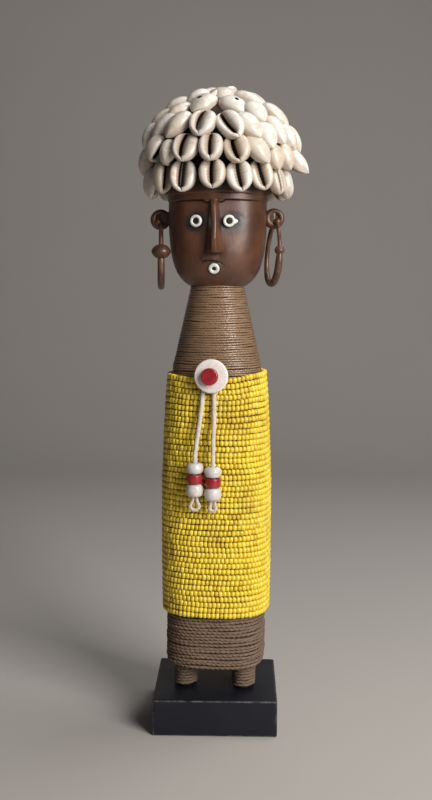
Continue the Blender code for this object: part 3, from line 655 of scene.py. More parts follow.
# Skirt of seed beads
skirt = {
    "strings": 43, "stringPitch": 3.6, "beadPitch": 2.68, "beadDiameter": 3.78, "beadLength": 2.7, "gap": 0.3,
    "sizeSpread": 0.07, "wave": 0.5, "seed": 11,
    "lift": {"left": 1.2, "right": 2.6},
    "yellow": (0.82, 0.61, 0.04), "deepYellow": (0.64, 0.44, 0.022), "brightYellow": (0.9, 0.68, 0.08),
    "stain": (0.30, 0.19, 0.03),
}


def seedBeadMaster():
    half, radius = skirt["beadLength"] / 2, skirt["beadDiameter"] / 2
    profile = [(0.62, -1.0), (0.9, -0.72), (1.0, 0.0), (0.9, 0.72), (0.62, 1.0)]
    rings = []
    for wide, along in profile:
        ring = []
        for i in range(8):
            turn, reach = math.pi * i / 4, wide * radius * (1.13 if i % 2 else 0.96)
            ring.append(polar(reach, turn, along * half))
        rings.append(ring)
    shape = skin(rings)
    bmesh.ops.recalc_face_normals(shape, faces=shape.faces)
    mesh = meshOf(shape, "seedBead")
    mesh.shade_smooth()
    masters = bpy.data.collections.new("seedBeads")
    masters.objects.link(bpy.data.objects.new("seedBead", mesh))
    return masters


def beadGlass():
    paint = Paint("yellowGlass", 0.3, **{"Coat Weight": 0.25, "Coat Roughness": 0.2})
    deep, yellow, bright = (skirt[label] for label in ("deepYellow", "yellow", "brightYellow"))
    body = paint.ramp(paint.reading("tint"), (0.0, deep), (0.25, yellow), (0.8, yellow), (1.0, bright))
    grimeAndShade = paint.clouds(55, 6, 0.62, paint.stretched(1.0, 1.0, 0.6))
    spots = paint.clouds(240, 3, 0.6)
    low = paint.ramp(grimeAndShade, (0.5, 0.0), (0.72, 0.55))
    speck = paint.ramp(spots, (0.62, 0.0), (0.74, 0.5))
    paint.colour(paint.blend(paint.maths("MAXIMUM", low, speck), body, skirt["stain"]))
    paint.rough(paint.ramp(paint.clouds(500, 3), (0.3, 0.22), (0.75, 0.5)))
    paint.relief(paint.clouds(1400, 3), 0.25, 0.0003)
    return paint.material


def seatMesh(name, seats):  # points that carry a turn, a stretch and a kind
    mesh = bpy.data.meshes.new(name)
    mesh.from_pydata([seat["place"] for seat in seats], [], [])
    for label, kind in (("turn", "FLOAT_VECTOR"), ("stretch", "FLOAT_VECTOR"), ("kind", "INT")):
        layer = mesh.attributes.new(label, kind, "POINT")
        for i, seat in enumerate(seats):
            if kind == "INT":
                layer.data[i].value = seat[label]
            else:
                layer.data[i].vector = seat[label]
    return linked(name, mesh)


def stringOfBeads(row, chance):
    height = trunk["skirtBase"] + (row + 0.5) * skirt["stringPitch"]
    grow = skirt["gap"] + skirt["beadDiameter"] / 2
    steps = 720
    loop = [onSection(trunkSection(height), fullTurn * i / steps, grow) for i in range(steps + 1)]
    lengths = [0.0]
    for a, b in zip(loop, loop[1:]):
        lengths.append(lengths[-1] + (b - a).length)
    count = round(lengths[-1] / skirt["beadPitch"])
    shift = chance.random()
    seats = []
    index = 0
    for bead in range(count):
        target = lengths[-1] * ((bead + shift) % count) / count
        if target < lengths[index]:
            index = 0
        while lengths[index + 1] < target:
            index += 1
        a, b = loop[index], loop[index + 1]
        spot = a.lerp(b, (target - lengths[index]) / (lengths[index + 1] - lengths[index]))
        turn = math.atan2(spot.y, spot.x)
        wave = skirt["wave"] * wander(1.3 * math.cos(turn), 1.3 * math.sin(turn), row * 0.31)
        wave += 0.16 * wander(9 * math.cos(turn), 9 * math.sin(turn), row * 1.7)
        wave *= min(1, (row + 0.6) / 2, (skirt["strings"] - row - 0.4) / 2)
        lift = skirt["lift"]["left" if spot.x < 0 else "right"]  # the top edge rises towards the sides
        wave += lift * ease(10, 29, abs(spot.x)) * ease(0.72, 1, (row + 1) / skirt["strings"])
        outward = spot.normalized() * (0.22 * wander(7 * math.cos(turn), 7 * math.sin(turn), row * 2.3) - 0.1)
        along = (b - a).normalized()
        fat = 1 + chance.uniform(-0.05, 0.05)
        seats.append({
            "place": spot + outward + Vector((0, 0, height + wave)),
            "turn": (
                chance.uniform(-0.1, 0.1), math.pi / 2 + chance.uniform(-0.1, 0.1),
                math.atan2(along.y, along.x) + chance.uniform(-0.1, 0.1),
            ),
            "stretch": (fat, fat, 1 + chance.uniform(-0.1, 0.04)),
            "kind": 0,
        })
    return seats


def makeSkirt():
    chance = random.Random(skirt["seed"])
    masters = seedBeadMaster()
    glass = beadGlass()
    rows = [stringOfBeads(row, chance) for row in range(skirt["strings"])]
    middle = skirt["strings"] // 2
    for label, chosen in (("lower", rows[:middle]), ("upper", rows[middle:])):
        source = seatMesh(f"beadSeats_{label}", [seat for row in chosen for seat in row])
        applyNodes(source, sewing, {
            "masters": masters, "size": 1.0, "sizeSpread": skirt["sizeSpread"], "seed": skirt["seed"],
            "finish": glass,
        })
        settle(finished(source, f"seedBeads_{label}"), "bead_skirt")
    thread = Paint("beadThread", 0.9)
    thread.colour(thread.blend(thread.clouds(500), (0.14, 0.085, 0.016), (0.30, 0.195, 0.03)))
    rings = []
    low, high = trunk["skirtBase"] + 0.6, trunk["skirtTop"] - 0.6
    levels = [mix(low, high, i / 23) for i in range(24)]
    for grow, order in ((1.2, levels), (0.4, levels[::-1])):
        rings += [sectionRing(trunkSection(level), 96, grow, level) for level in order]
    lining = pieceFrom(skin(rings, closed=True), "beadLining", thread.material)
    settle(lining, "bead_skirt")


makeSkirt()
print("skirt beaded")

# Carved head
head = {
    "width": 62.9, "depth": 60.6, "jaw": 60.4, "crown": 56.0, "brow": 55.7,
    "jawPower": 3.6, "crownPower": 3.0, "power": 2.3,
    "columns": 236, "secondLine": 59.4, "eyeHeight": 42.4, "eyeSide": 10.5, "mouthHeight": 13.2, "mouthX": 0.5,
    "noseX": 0.6, "noseLength": 32.5, "noseWidths": (5.0, 10.8), "noseProud": (1.7, 7.6),
    "ridge": 2.7, "ridgeOff": 0.55,
    "lips": [(-8.0, 17.2), (-5.8, 18.2), (-3.4, 18.5), (-0.4, 18.1), (2.8, 17.7), (5.2, 16.7), (7.2, 14.9)],
    "wood": (0.098, 0.034, 0.013), "darkWood": (0.036, 0.013, 0.006), "redWood": (0.17, 0.062, 0.020),
    "patina": (0.006, 0.007, 0.011),
}
chin = trunk["skirtTop"] + trunk["neckHeight"]


def headShare(rise):  # width at a height above the chin, as a share of the widest
    if rise < head["jaw"]:
        return (1 - (1 - max(rise, 0) / head["jaw"]) ** head["jawPower"]) ** (1 / head["jawPower"])
    over = min((rise - head["jaw"]) / head["crown"], 1)
    return (1 - over ** head["crownPower"]) ** (1 / head["crownPower"])


def carving(x, rise):  # how far the face stands proud of the plain head, and how much grime and painted shade lie in its grooves
    height = 0.0
    side = abs(x - head["noseX"])
    browLine = head["brow"] - 0.3 + 0.25 * math.sin(x * 0.11 + 0.6) - 1.6 * bump(side - 4.2, 3.2)
    under = 1 - ease(browLine - 0.25, browLine + 0.25, rise)
    height -= under * (0.5 + 0.5 * ease(12, 34, rise)) * ease(34, 26, side)
    height -= 0.45 * bump(rise - browLine + 0.2, 0.55) * ease(28, 22, side)
    height -= 1.3 * under * ease(20, 44, rise) * bump(side - 9.5, 12)
    height -= 0.8 * ease(17, 23, rise) * ease(30, 23, rise) * bump(side, 8)
    over = head["secondLine"] + 0.35 * math.sin(x * 0.1 + 1.2)
    height -= 0.32 * bump(rise - over, 0.55) * ease(-6, 6, x)
    height += 0.5 * ease(over, over + 0.5, rise)
    # painted shade and grime along the brow line and the second line above it
    grimeAndShade = 0.9 * bump(rise - browLine + 0.25, 0.75) * ease(29, 24, side) * ease(1.5, 4, side)
    grimeAndShade = max(grimeAndShade, 0.6 * bump(rise - over, 0.6) * ease(-4, 6, x))
    for eye in (-1, 1):  # shallow socket cut round each inlay, drawn out to a point on the right
        off = x - eye * head["eyeSide"]
        off *= 1 - 0.28 * ease(0, 5, off) if eye > 0 else 1
        away = math.hypot(off, 1.15 * (rise - head["eyeHeight"]))
        rough = 0.5 + 0.5 * wander(x * 0.9, rise * 0.9, 4)
        height -= 0.4 * bump(away, 8.5) + 0.14 * bump(away - 6.0, 0.9) * rough
        # painted shade and grime in the crease round the inlay and along the socket's edge
        outer = (0.85 if eye > 0 else 0.4) * bump(away - 6.0, 0.7) * rough
        grimeAndShade = max(grimeAndShade, bump(away - 4.1, 0.7), outer * ease(-3, 2, off * eye))
    lip = reading(head["lips"], min(max(x, -8.0), 7.2))
    reach = ease(8.6, 5.4, abs(x + 0.6))
    offLip = rise - lip
    height += 0.8 * reach * (1 - 0.9 * ease(-1, 5, x)) * bump(offLip - 1.6, 4.4) * ease(-0.3, 0.3, offLip)
    height -= 0.8 * reach * (1 - 0.5 * ease(2, 6, x)) * bump(offLip, 1.6) * ease(0.35, -0.15, offLip)
    height += 0.4 * bump(rise - head["mouthHeight"], 6.5) * bump(x - head["mouthX"], 7.5)
    # painted shadow under the lip's bulge, along the lip line
    grimeAndShade = max(grimeAndShade, reach * bump(offLip + 0.25, 1.1))
    # painted shade and grime in the crease round the mouth bead
    mouthAway = math.hypot(x - head["mouthX"], rise - head["mouthHeight"])
    grimeAndShade = max(grimeAndShade, 0.9 * bump(mouthAway - 3.7, 0.8))
    return height, grimeAndShade


def headPoint(turn, rise):
    share = headShare(rise)
    half, deep = head["width"] / 2 * share, head["depth"] / 2 * share
    spot = onSection((max(half, 0.01), max(deep, 0.01), head["power"]), turn)
    facing = ease(0.1, 0.7, -math.sin(turn))
    height, grimeAndShade = carving(spot.x, rise) if facing > 0 else (0.0, 0.0)
    spot.y -= height * facing * min(share * 1.3, 1)
    band = 0.55 if rise > head["brow"] else 0.0
    chips = 0.12 * wander(spot.x * 0.12, spot.y * 0.12, rise * 0.12)
    spot += spot.normalized() * (band * share + chips)
    spot.z = chin + rise
    return spot, grimeAndShade * ease(0.2, 0.4, facing)


def faceFront(x, rise):
    share = headShare(rise)
    across = min(abs(x) / (head["width"] / 2 * share), 1)
    return -head["depth"] / 2 * share * (1 - across ** head["power"]) ** (1 / head["power"])


def headWood():
    paint = Paint("carvedWood", 0.44, **{"Coat Weight": 0.5, "Coat Roughness": 0.42})
    grain = paint.clouds(1.0, 5, 0.6, paint.stretched(60, 60, 22), 0.5)
    fine = paint.clouds(1.0, 4, 0.7, paint.stretched(650, 650, 110))
    blotch = paint.clouds(42, 5)
    wood = paint.ramp(grain, (0.25, head["darkWood"]), (0.5, head["wood"]), (0.8, head["redWood"]))
    wood = paint.blend(paint.ramp(fine, (0.45, 0.0), (0.75, 0.35)), wood, head["darkWood"])
    wood = paint.blend(paint.ramp(blotch, (0.46, 0.0), (0.74, 0.6)), wood, (0.045, 0.015, 0.009))
    rubbed = paint.clouds(330, 6, 0.75, None, 2.0)
    scratches = paint.clouds(1.0, 5, 0.75, paint.stretched(900, 900, 340), 2.5)
    spread = {-1: (0.0112, 0.02, 0.0112), 1: (0.0130, 0.02, 0.0112)}
    for side in (-1, 1):
        x = side * head["eyeSide"]
        level = head["eyeHeight"]
        eye = figureFrame @ Vector((x + (0.9 if side > 0 else 0), faceFront(x, level), chin + level))
        near = paint.near(tuple(eye), spread[side])
        core = paint.ramp(near, (0.28, 0.0), (0.56, 0.9))
        edge = paint.ramp(near, (0.04, 0.0), (0.5, 0.95))
        mottle = paint.maths("MAXIMUM", core, paint.ramp(rubbed, (0.44, 0.12), (0.56, 1.0)))
        soot = paint.maths("MULTIPLY", edge, mottle)
        wood = paint.blend(soot, wood, head["patina"])
        flecks = paint.maths("MULTIPLY", edge, paint.ramp(scratches, (0.56, 0.0), (0.66, 0.8)))
        wood = paint.blend(flecks, wood, (0.10, 0.095, 0.115))
    # near-black painted shade and grime in the carved grooves
    wood = paint.blend(paint.maths("MULTIPLY", paint.reading("grimeAndShade"), 0.92), wood, (0.009, 0.006, 0.005))
    paint.colour(wood)
    gloss = paint.clouds(120, 5)
    paint.rough(paint.ramp(gloss, (0.3, 0.34), (0.7, 0.5)))
    dents = paint.maths("ADD", paint.maths("MULTIPLY", fine, 0.5), paint.clouds(150, 4))
    paint.relief(paint.maths("ADD", dents, paint.maths("MULTIPLY", scratches, 0.3)), 0.25, 0.0008)
    return paint.material


def makeHead(wood):
    rises = [0.02, 0.06, 0.14, 0.28, 0.5, 0.8, 1.2, 1.7, 2.3, 3.0, 3.8, 4.7, 5.6, 6.6]
    mouthTop, browFoot, browTop, crownTop = (
        24, head["brow"] - 3, head["jaw"] + 1.5, head["jaw"] + head["crown"] * 0.9,
    )
    for limit, step in ((mouthTop, 0.42), (browFoot, 0.75), (browTop, 0.22), (crownTop, 2.5)):
        while rises[-1] < limit:
            rises.append(rises[-1] + step)
    rises += [head["jaw"] + head["crown"] * share for share in (0.95, 0.975, 0.99, 0.998)]
    turns = [even - 0.38 * math.cos(even) for even in turnsOf(head["columns"])]  # closer on the face
    carved = [[headPoint(turn, rise) for turn in turns] for rise in rises]
    piece = pieceFrom(skin([[spot for spot, grimeAndShade in ring] for ring in carved]), "carvedHead", wood, angle=60)
    # painted shade and grime of the grooves, stored on the points
    layer = piece.data.attributes.new("grimeAndShade", "FLOAT", "POINT")
    layer.data.foreach_set("value", [grimeAndShade for ring in carved for spot, grimeAndShade in ring])
    settle(piece, "head")


def makeNose(wood):
    top, bottom = head["brow"] + 0.5, head["brow"] - head["noseLength"]
    steps = 34
    rings = []
    for i in range(steps + 1):
        share = 1 - (1 - i / steps) ** 1.4
        rise = mix(top, bottom, share)
        width = mix(*head["noseWidths"], share**1.1)
        proud = mix(*head["noseProud"], share) * (0.2 + 0.8 * ease(0, 0.1, share))
        proud -= 0.9 * ease(0.955, 1.0, share) ** 2
        flare = 1 + 0.1 * bump(share - 0.93, 0.12)
        ridge = head["ridge"] / 2 * (0.8 + 0.2 * share)
        middle = head["noseX"]
        skinY = faceFront(middle, min(rise, head["brow"]))
        crest = middle + head["ridgeOff"] * ease(0, 0.5, share)
        left, right = middle - width / 2 * flare, middle + width / 2 * flare
        section = [
            (right + 0.9, 2.8), (right + 0.25, 0.9), (right, 0.15),
            (mix(right, crest + ridge, 0.5), -0.5 * proud), (crest + ridge + 0.12, -0.95 * proud),
            (crest + ridge - 0.3, -proud), (crest, -proud - 0.06), (crest - ridge + 0.3, -proud),
            (crest - ridge - 0.12, -0.95 * proud), (mix(left, crest - ridge, 0.5), -0.5 * proud),
            (left, 0.15), (left - 0.25, 0.9), (left - 0.9, 2.8),
        ]
        rings.append([Vector((x, skinY + y, chin + rise)) for x, y in section])
    under = [point + Vector((0, 0.9, -0.35)) for point in rings[-1]]
    rings.append([point.lerp(Vector((head["noseX"], point.y, point.z)), 0.06) for point in under])
    piece = pieceFrom(skin(rings), "nose", wood, angle=32)
    settle(piece, "head")


# Ears and hoop earrings
ears = {"rise": 45.4, "out": 5.6, "ring": 4.5, "roll": 2.25, "thick": 1.25, "holeDrop": 3.0, "knob": 2.5}
hoops = {
    "height": {"left": 40.6, "right": 38.6}, "depth": 30.0, "thin": 2.5, "thick": 4.6, "back": 3.1,
    "turn": {"left": 9, "right": 18.5}, "tilt": {"left": 0, "right": 3.5},
    "ballShare": 0.236, "ball": {"left": 11.8, "right": 6.2}, "squash": {"left": 0.8, "right": 1.0},
    "wood": (0.082, 0.036, 0.019),
}


def earPlace(side):
    return Vector((side * (head["width"] / 2 * headShare(ears["rise"]) + ears["out"]), 0, chin + ears["rise"]))


def makeEar(label, side, wood):
    centre = earPlace(side)
    opening = math.radians(200 if side > 0 else 250)  # where the carved curl begins
    rings = []
    for turn in turnsOf(56):
        curl = 1.0 + 0.12 * math.cos(turn - opening)
        past = (turn - opening + math.pi) % fullTurn - math.pi
        roll = ears["roll"] * (0.82 + 0.3 * bump(past, 2.4))
        ring = []
        for tilt in turnsOf(18):
            out = ears["ring"] * curl + roll * math.cos(tilt)
            depth = ears["thick"] * roll * math.sin(tilt)
            ring.append((centre.x + out * math.cos(turn), centre.y + depth, centre.z + out * math.sin(turn)))
        rings.append(ring)
    dish = globe(1, 32, 16)
    bmesh.ops.scale(dish, vec=(ears["ring"] + 0.6, 1.5, ears["ring"] + 0.6), verts=dish.verts)
    bmesh.ops.translate(dish, vec=centre + Vector((0, 0.7, 0)), verts=dish.verts)
    root = bmesh.new()
    bmesh.ops.create_cube(root, size=1)
    bmesh.ops.scale(root, vec=(ears["out"] + 2.4, 5.0, 8.2), verts=root.verts)
    bmesh.ops.translate(root, vec=centre - Vector((side * (ears["out"] / 2 + 0.6), 0, 0)), verts=root.verts)
    edges = root.edges[:] + root.verts[:]
    bmesh.ops.bevel(root, geom=edges, offset=1.6, segments=4, profile=0.5, affect="EDGES")
    knob = globe(ears["knob"], 28, 16)
    drop = Vector((side * 1.5, -1.9, -ears["holeDrop"] + 0.6))
    bmesh.ops.translate(knob, vec=centre + drop, verts=knob.verts)
    curled = skin(rings, closed=True)
    for part, form in (("Ring", curled), ("Dish", dish), ("Root", root), ("Knob", knob)):
        settle(pieceFrom(form, f"ear{part}_{label}", wood), "head")


def hoopPoint(label, share):
    angle = fullTurn * share
    fuller = 1 - 0.16 * math.cos(angle)
    forward = hoops["depth"] / 2 * math.sin(angle) * fuller
    return Vector((0, -forward, -hoops["height"][label] / 2 * (1 - math.cos(angle))))


def hoopThickness(share):
    front = mix(hoops["thin"], hoops["thick"], ease(0.2, 0.3, share))
    back = mix(hoops["thick"], hoops["back"], ease(0.5, 0.72, share))
    return mix(front if share < 0.5 else back, hoops["thin"], ease(0.85, 0.97, share))


def hoopWood():
    paint = Paint("hoopWood", 0.38, **{"Coat Weight": 0.25, "Coat Roughness": 0.25})
    grain = paint.clouds(1.0, 5, 0.65, paint.stretched(320, 320, 70), 0.8)
    wood = paint.ramp(grain, (0.3, (0.04, 0.016, 0.01)), (0.5, hoops["wood"]), (0.75, (0.17, 0.082, 0.045)))
    paint.colour(wood)
    paint.rough(paint.ramp(paint.clouds(260, 4), (0.3, 0.3), (0.7, 0.5)))
    paint.relief(grain, 0.3, 0.0004)
    return paint.material


def makeHoop(label, side, wood):
    steps = 144
    across = Vector((1, 0, 0))
    rings = []
    for i in range(steps):
        share = i / steps
        point = hoopPoint(label, share)
        ahead = (hoopPoint(label, share + 0.002) - hoopPoint(label, share - 0.002)).normalized()
        other = ahead.cross(across)
        half = hoopThickness(share) / 2 * (1 + 0.04 * wander(share * 14, side, 2))
        rings.append([
            point + (across * math.cos(turn) + other * math.sin(turn)) * half for turn in turnsOf(20)
        ])
    placed = Matrix.Translation(earPlace(side) - Vector((0, 0, ears["holeDrop"])))
    swing = rotated(hoops["tilt"][label], "Y")
    placed = figureFrame @ placed @ rotated(hoops["turn"][label], "Z") @ swing
    hoop = pieceFrom(skin(rings, closed=True), f"hoop_{label}", wood, placed)
    at = hoopPoint(label, hoops["ballShare"])
    radius = hoops["ball"][label] / 2
    ball = globe(radius, 40, 24)
    for vert in ball.verts:
        rise = vert.co.z / radius
        vert.co.z *= hoops["squash"][label]
        vert.co.x *= 1 + 0.05 * bump(rise, 0.5)
        vert.co.y *= 1 + 0.05 * bump(rise, 0.5)
    bead = pieceFrom(ball, f"hoopBall_{label}", wood, placed @ Matrix.Translation(at))
    for piece in (hoop, bead):
        settle(piece, f"earring_{label}")


carvedWood = headWood()
makeHead(carvedWood)
makeNose(carvedWood)
ringWood = hoopWood()
for label, side in (("left", -1), ("right", 1)):
    makeEar(label, side, carvedWood)
    makeHoop(label, side, ringWood)
print("head carved")

# White ring beads for the eyes and the mouth, and their pupils
inlays = {
    "eye": 7.6, "pupil": 3.9, "mouth": 6.9, "mouthHole": 2.5, "sunk": 1.0, "proud": 1.15,
    "white": (0.80, 0.78, 0.74), "black": (0.012, 0.011, 0.011),
}


def onFace(x, rise):  # frame on the face, its Z pointing out
    reach = 1.0
    side = Vector((2 * reach, faceFront(x + reach, rise) - faceFront(x - reach, rise), 0)).normalized()
    lean = (faceFront(x, rise + reach) - faceFront(x, rise - reach)) / (2 * reach)
    normal = side.cross(Vector((0, lean, 1))).normalized()
    placed = Matrix((side, normal.cross(side), normal)).transposed().to_4x4()
    placed.translation = Vector((x, faceFront(x, rise), chin + rise))
    return figureFrame @ placed


def ringBead(outer, hole, low, high):
    wall = outer - hole
    profile = []
    for i in range(13):
        turn = math.pi * i / 12
        profile.append((hole + wall / 2 * (1 + math.cos(turn)), high - 0.8 + 0.8 * math.sin(turn)))
    return [(outer, low)] + profile + [(hole, low)]


def makeInlays():
    white = glazed("inlayWhite", inlays["white"], (0.66, 0.63, 0.58))
    black = Paint("pupil", 0.6, **{"Specular IOR Level": 0.25})
    black.colour(black.blend(black.clouds(900), inlays["black"], (0.02, 0.018, 0.017)))
    low, high = -inlays["sunk"], inlays["proud"]
    for label, side in (("left", -1), ("right", 1)):
        placed = onFace(side * head["eyeSide"] - (0.4 if side > 0 else 0), head["eyeHeight"])
        ring = spun(ringBead(inlays["eye"] / 2, inlays["pupil"] / 2, low, high), 48, bored=True)
        settle(pieceFrom(ring, f"eyeRing_{label}", white, placed), f"eye_ring_{label}")
        radius = inlays["pupil"] / 2 - 0.02
        dome = [(radius, low), (radius, 0.45), (radius * 0.8, 0.6), (radius * 0.4, 0.66), (0.05, 0.68)]
        pupil = pieceFrom(spun(dome, 32), f"eyePupil_{label}", black.material, placed)
        settle(pupil, f"eye_pupil_{label}")
        if side > 0:  # chip of shell that draws this eye out to a point
            chip = globe(1, 28, 14)
            for vert in chip.verts:
                narrow = 1 - 0.45 * ease(0, 1, vert.co.x)
                x, y, z = vert.co
                vert.co = Vector((3.9 + 1.7 * x, 1.5 * y * narrow - 0.2, 0.05 + 0.3 * z))
            settle(pieceFrom(chip, "eyeChip", white, placed), None)
    placed = onFace(head["mouthX"], head["mouthHeight"])
    ring = spun(ringBead(inlays["mouth"] / 2, inlays["mouthHole"] / 2, low, high), 48, bored=True)
    mouth = pieceFrom(ring, "mouthRing", white, placed)
    settle(mouth, "mouth_ring")
    # black floor deep in the mouth bead's hole: painted shade inside the hole
    floor = spun([(1.4, low), (1.4, 0.1), (0.7, 0.14), (0.05, 0.15)], 24)
    settle(pieceFrom(floor, "mouthHole", black.material, placed), None)


makeInlays()
print("inlays set")

# Cowrie wig
shells = {
    "length": 20.0, "width": 16.0, "thick": 10.0, "stations": 30, "around": 26, "seed": 4,
    "ivory": (0.70, 0.64, 0.555), "pale": (0.78, 0.735, 0.665), "cream": (0.58, 0.485, 0.37),
    # brown: real brown on the lips and ends, and painted shade at the shells' sides
    "brown": (0.20, 0.11, 0.05),
    # slit: near-black painted shade inside the slit and the sewing hole
    "slit": (0.010, 0.007, 0.005),
    "kinds": [
        {"gape": 2.1, "bend": 0.6, "offset": -0.3, "point": 0.10},
        {"gape": 3.6, "bend": 0.4, "offset": -0.5, "point": 0.08},
        {"gape": 2.3, "bend": 1.5, "offset": -1.5, "point": 0.16},
        {"gape": 1.3, "bend": 0.5, "offset": 0.0, "point": 0.34},
        {"gape": 1.5, "bend": 0.5, "offset": 0.0, "point": 0.14},
    ],
}


def cowrieRings(kind):
    length, width, thick = shells["length"], shells["width"], shells["thick"]
    rings, marks = [], []
    for i in range(shells["stations"]):
        swing = math.pi * (i + 0.5) / shells["stations"]
        along = -math.cos(swing)  # -1 at the narrow low end, 1 at the broad top
        low = max(-along, 0)
        z = along * length / 2
        fullness = (1 - abs(along) ** 2.4) ** (0.5 + 0.9 * kind["point"] * low)
        half = width / 2 * fullness * (1 + 0.6 * kind["point"] * along)
        ventral = 0.42 * thick * (1 - abs(along) ** 2.8) ** (0.5 + kind["point"] * low)
        dorsal = 0.58 * thick * (1 - abs(along) ** 2.2) ** (0.55 + kind["point"] * low) * (1 + 0.16 * along)
        closing = ease(-0.9, -0.66, along) * ease(0.96, 0.84, along)
        gape = kind["gape"] * (0.72 + 0.28 * (1 - along * along)) * closing
        middle = (kind["offset"] + kind["bend"] * (along * along - 0.35)) * min(1, half / 4)
        tooth = 0.11 * (1 if i % 2 else -1) * min(1, half / 4)
        edges = (middle + gape / 2 + tooth, middle - gape / 2 - tooth)
        ring, mark = [], []
        for j in range(shells["around"] + 1):
            turn = fullTurn * j / shells["around"]
            side = 1 if turn <= math.pi else -1
            edge = edges[0 if side > 0 else 1]
            outward = abs(math.sin(turn)) ** 0.85
            x = edge + (side * half - edge) * outward
            if math.cos(turn) > 0:  # two rounded lips that roll into the slit
                quarter = min(turn, fullTurn - turn) / (math.pi / 2)
                roll = 1 - 0.4 * closing * (max(0.34 - quarter, 0) / 0.34) ** 2
                y = -ventral * roll * math.cos(math.pi / 2 * max(quarter - 0.34, 0) / 0.66) ** 0.75
                dirt = 0.3 * bump(quarter, 0.3) * closing + 0.05 * (i % 2) * bump(quarter, 0.4)
                # the lip marks are real brown; the mark at the shell's side is painted shade where neighbouring
                # shells meet
                mark.append(dirt + 0.17 * bump(1 - quarter, 0.45))
            else:
                y = dorsal * abs(math.cos(turn)) ** 0.92
                # brown at the shell's sides on the back: painted shade where neighbouring shells meet
                mark.append(0.17 * bump(math.cos(turn), 0.5))
            ring.append(Vector((x, y, z)))
        lipY, inside = -(1 - 0.42 * closing) * ventral, 0.3 + 3.6 * fullness * closing
        # points down inside the slit, marked so the paint turns them near-black: painted shade in the slit
        for reach, depth in ((0.98, 0.18), (1.0, 0.6), (0.0, 1.0), (-1.0, 0.6), (-0.98, 0.18)):
            ring.append(Vector((middle - reach * (gape / 2 + 0.05), lipY + inside * depth, z)))
            mark.append((1.0 if depth > 0.3 else 0.75) * (0.3 + 0.7 * closing))
        rings.append(ring)
        marks.append(mark)
    return rings, marks


def cowrieMaster(name, kind, holed=False):
    rings, marks = cowrieRings(kind)
    shape = bmesh.new()
    slit = shape.verts.layers.float.new("slit")
    local = shape.verts.layers.float_vector.new("local")
    loops = []
    for ring, mark in zip(rings, marks):
        loop = []
        for point, dark in zip(ring, mark):
            vert = shape.verts.new(point)
            vert[slit] = dark
            vert[local] = point
            loop.append(vert)
        loops.append(loop)
    for a, b in zip(loops, loops[1:]):
        for j in range(len(a)):
            k = (j + 1) % len(a)
            shape.faces.new((a[j], a[k], b[k], b[j]))
    for loop, end in ((loops[0], -1), (loops[-1], 1)):
        middle = sum((vert.co for vert in loop), Vector()) / len(loop)
        tip = shape.verts.new(middle + Vector((0, 0, end * 0.15)))
        tip[local] = tip.co
        tip[slit] = 0.4
        for j in range(len(loop)):
            shape.faces.new((loop[j], loop[(j + 1) % len(loop)], tip))
    bmesh.ops.recalc_face_normals(shape, faces=shape.faces)
    mesh = meshOf(shape, name)
    mesh.shade_smooth()
    if holed:
        mesh = drilled(mesh)
    return bpy.data.objects.new(name, mesh)


def drilled(mesh):  # a sewing hole through the back
    source = linked("undrilled", mesh)
    drill = bmesh.new()
    spot = Matrix.Translation((0.3, 6.0, -1.2)) @ rotated(90, "X")
    bmesh.ops.create_cone(drill, cap_ends=True, segments=20, radius1=1.25, radius2=1.25, depth=6, matrix=spot)
    bit = linked("drill", meshOf(drill, "drill"))
    cut = source.modifiers.new("hole", "BOOLEAN")
    cut.operation = "DIFFERENCE"
    cut.object = bit
    result = evaluated(source)
    axis = spot.to_3x3() @ Vector((0, 0, 1))
    slits, places = (result.attributes[label].data for label in ("slit", "local"))
    for vert, dark, place in zip(result.vertices, slits, places):
        away = vert.co - spot.translation
        off = (away - axis * away.dot(axis)).length
        place.vector = vert.co
        # the hole's walls get the strongest mark: painted shade inside the hole
        if off < 1.3:
            dark.value = 1.0
    bpy.data.objects.remove(source)
    bpy.data.objects.remove(bit)
    result.shade_smooth()
    result.set_sharp_from_angle(angle=math.radians(50))
    return result


def cowrieShell():
    paint = Paint("cowrieShell", 0.3, **{"Coat Weight": 0.35, "Coat Roughness": 0.2})
    slit = paint.reading("slit")
    cream, ivory, pale = (shells[label] for label in ("cream", "ivory", "pale"))
    body = paint.ramp(paint.reading("tint"), (0.0, cream), (0.3, ivory), (0.75, pale), (1.0, ivory))
    bands = paint.stretched(0.09, 0.09, 0.24, paint.reading("local", "Vector"))
    growth = paint.clouds(1.6, 5, 0.6, bands)
    spots = paint.clouds(150, 5, 0.6)
    body = paint.blend(paint.ramp(growth, (0.5, 0.0), (0.72, 0.65)), body, (0.56, 0.42, 0.27))
    body = paint.blend(paint.ramp(spots, (0.5, 0.0), (0.72, 0.5)), body, (0.47, 0.38, 0.29))
    stains = paint.ramp(paint.clouds(95, 3), (0.62, 0.0), (0.72, 0.55))
    body = paint.blend(stains, body, (0.50, 0.30, 0.14))
    # brown from the marks: real brown on the lips and ends, painted shade at the shell's sides
    body = paint.blend(paint.ramp(slit, (0.02, 0.0), (0.34, 0.85)), body, shells["brown"])
    # near-black from the strongest marks: painted shade inside the slit and the sewing hole
    paint.colour(paint.blend(paint.ramp(slit, (0.5, 0.0), (0.8, 1.0)), body, shells["slit"]))
    paint.rough(paint.ramp(paint.clouds(300, 4), (0.3, 0.24), (0.75, 0.46)))
    paint.relief(paint.maths("ADD", spots, paint.clouds(700, 3)), 0.15, 0.0006)
    return paint.material


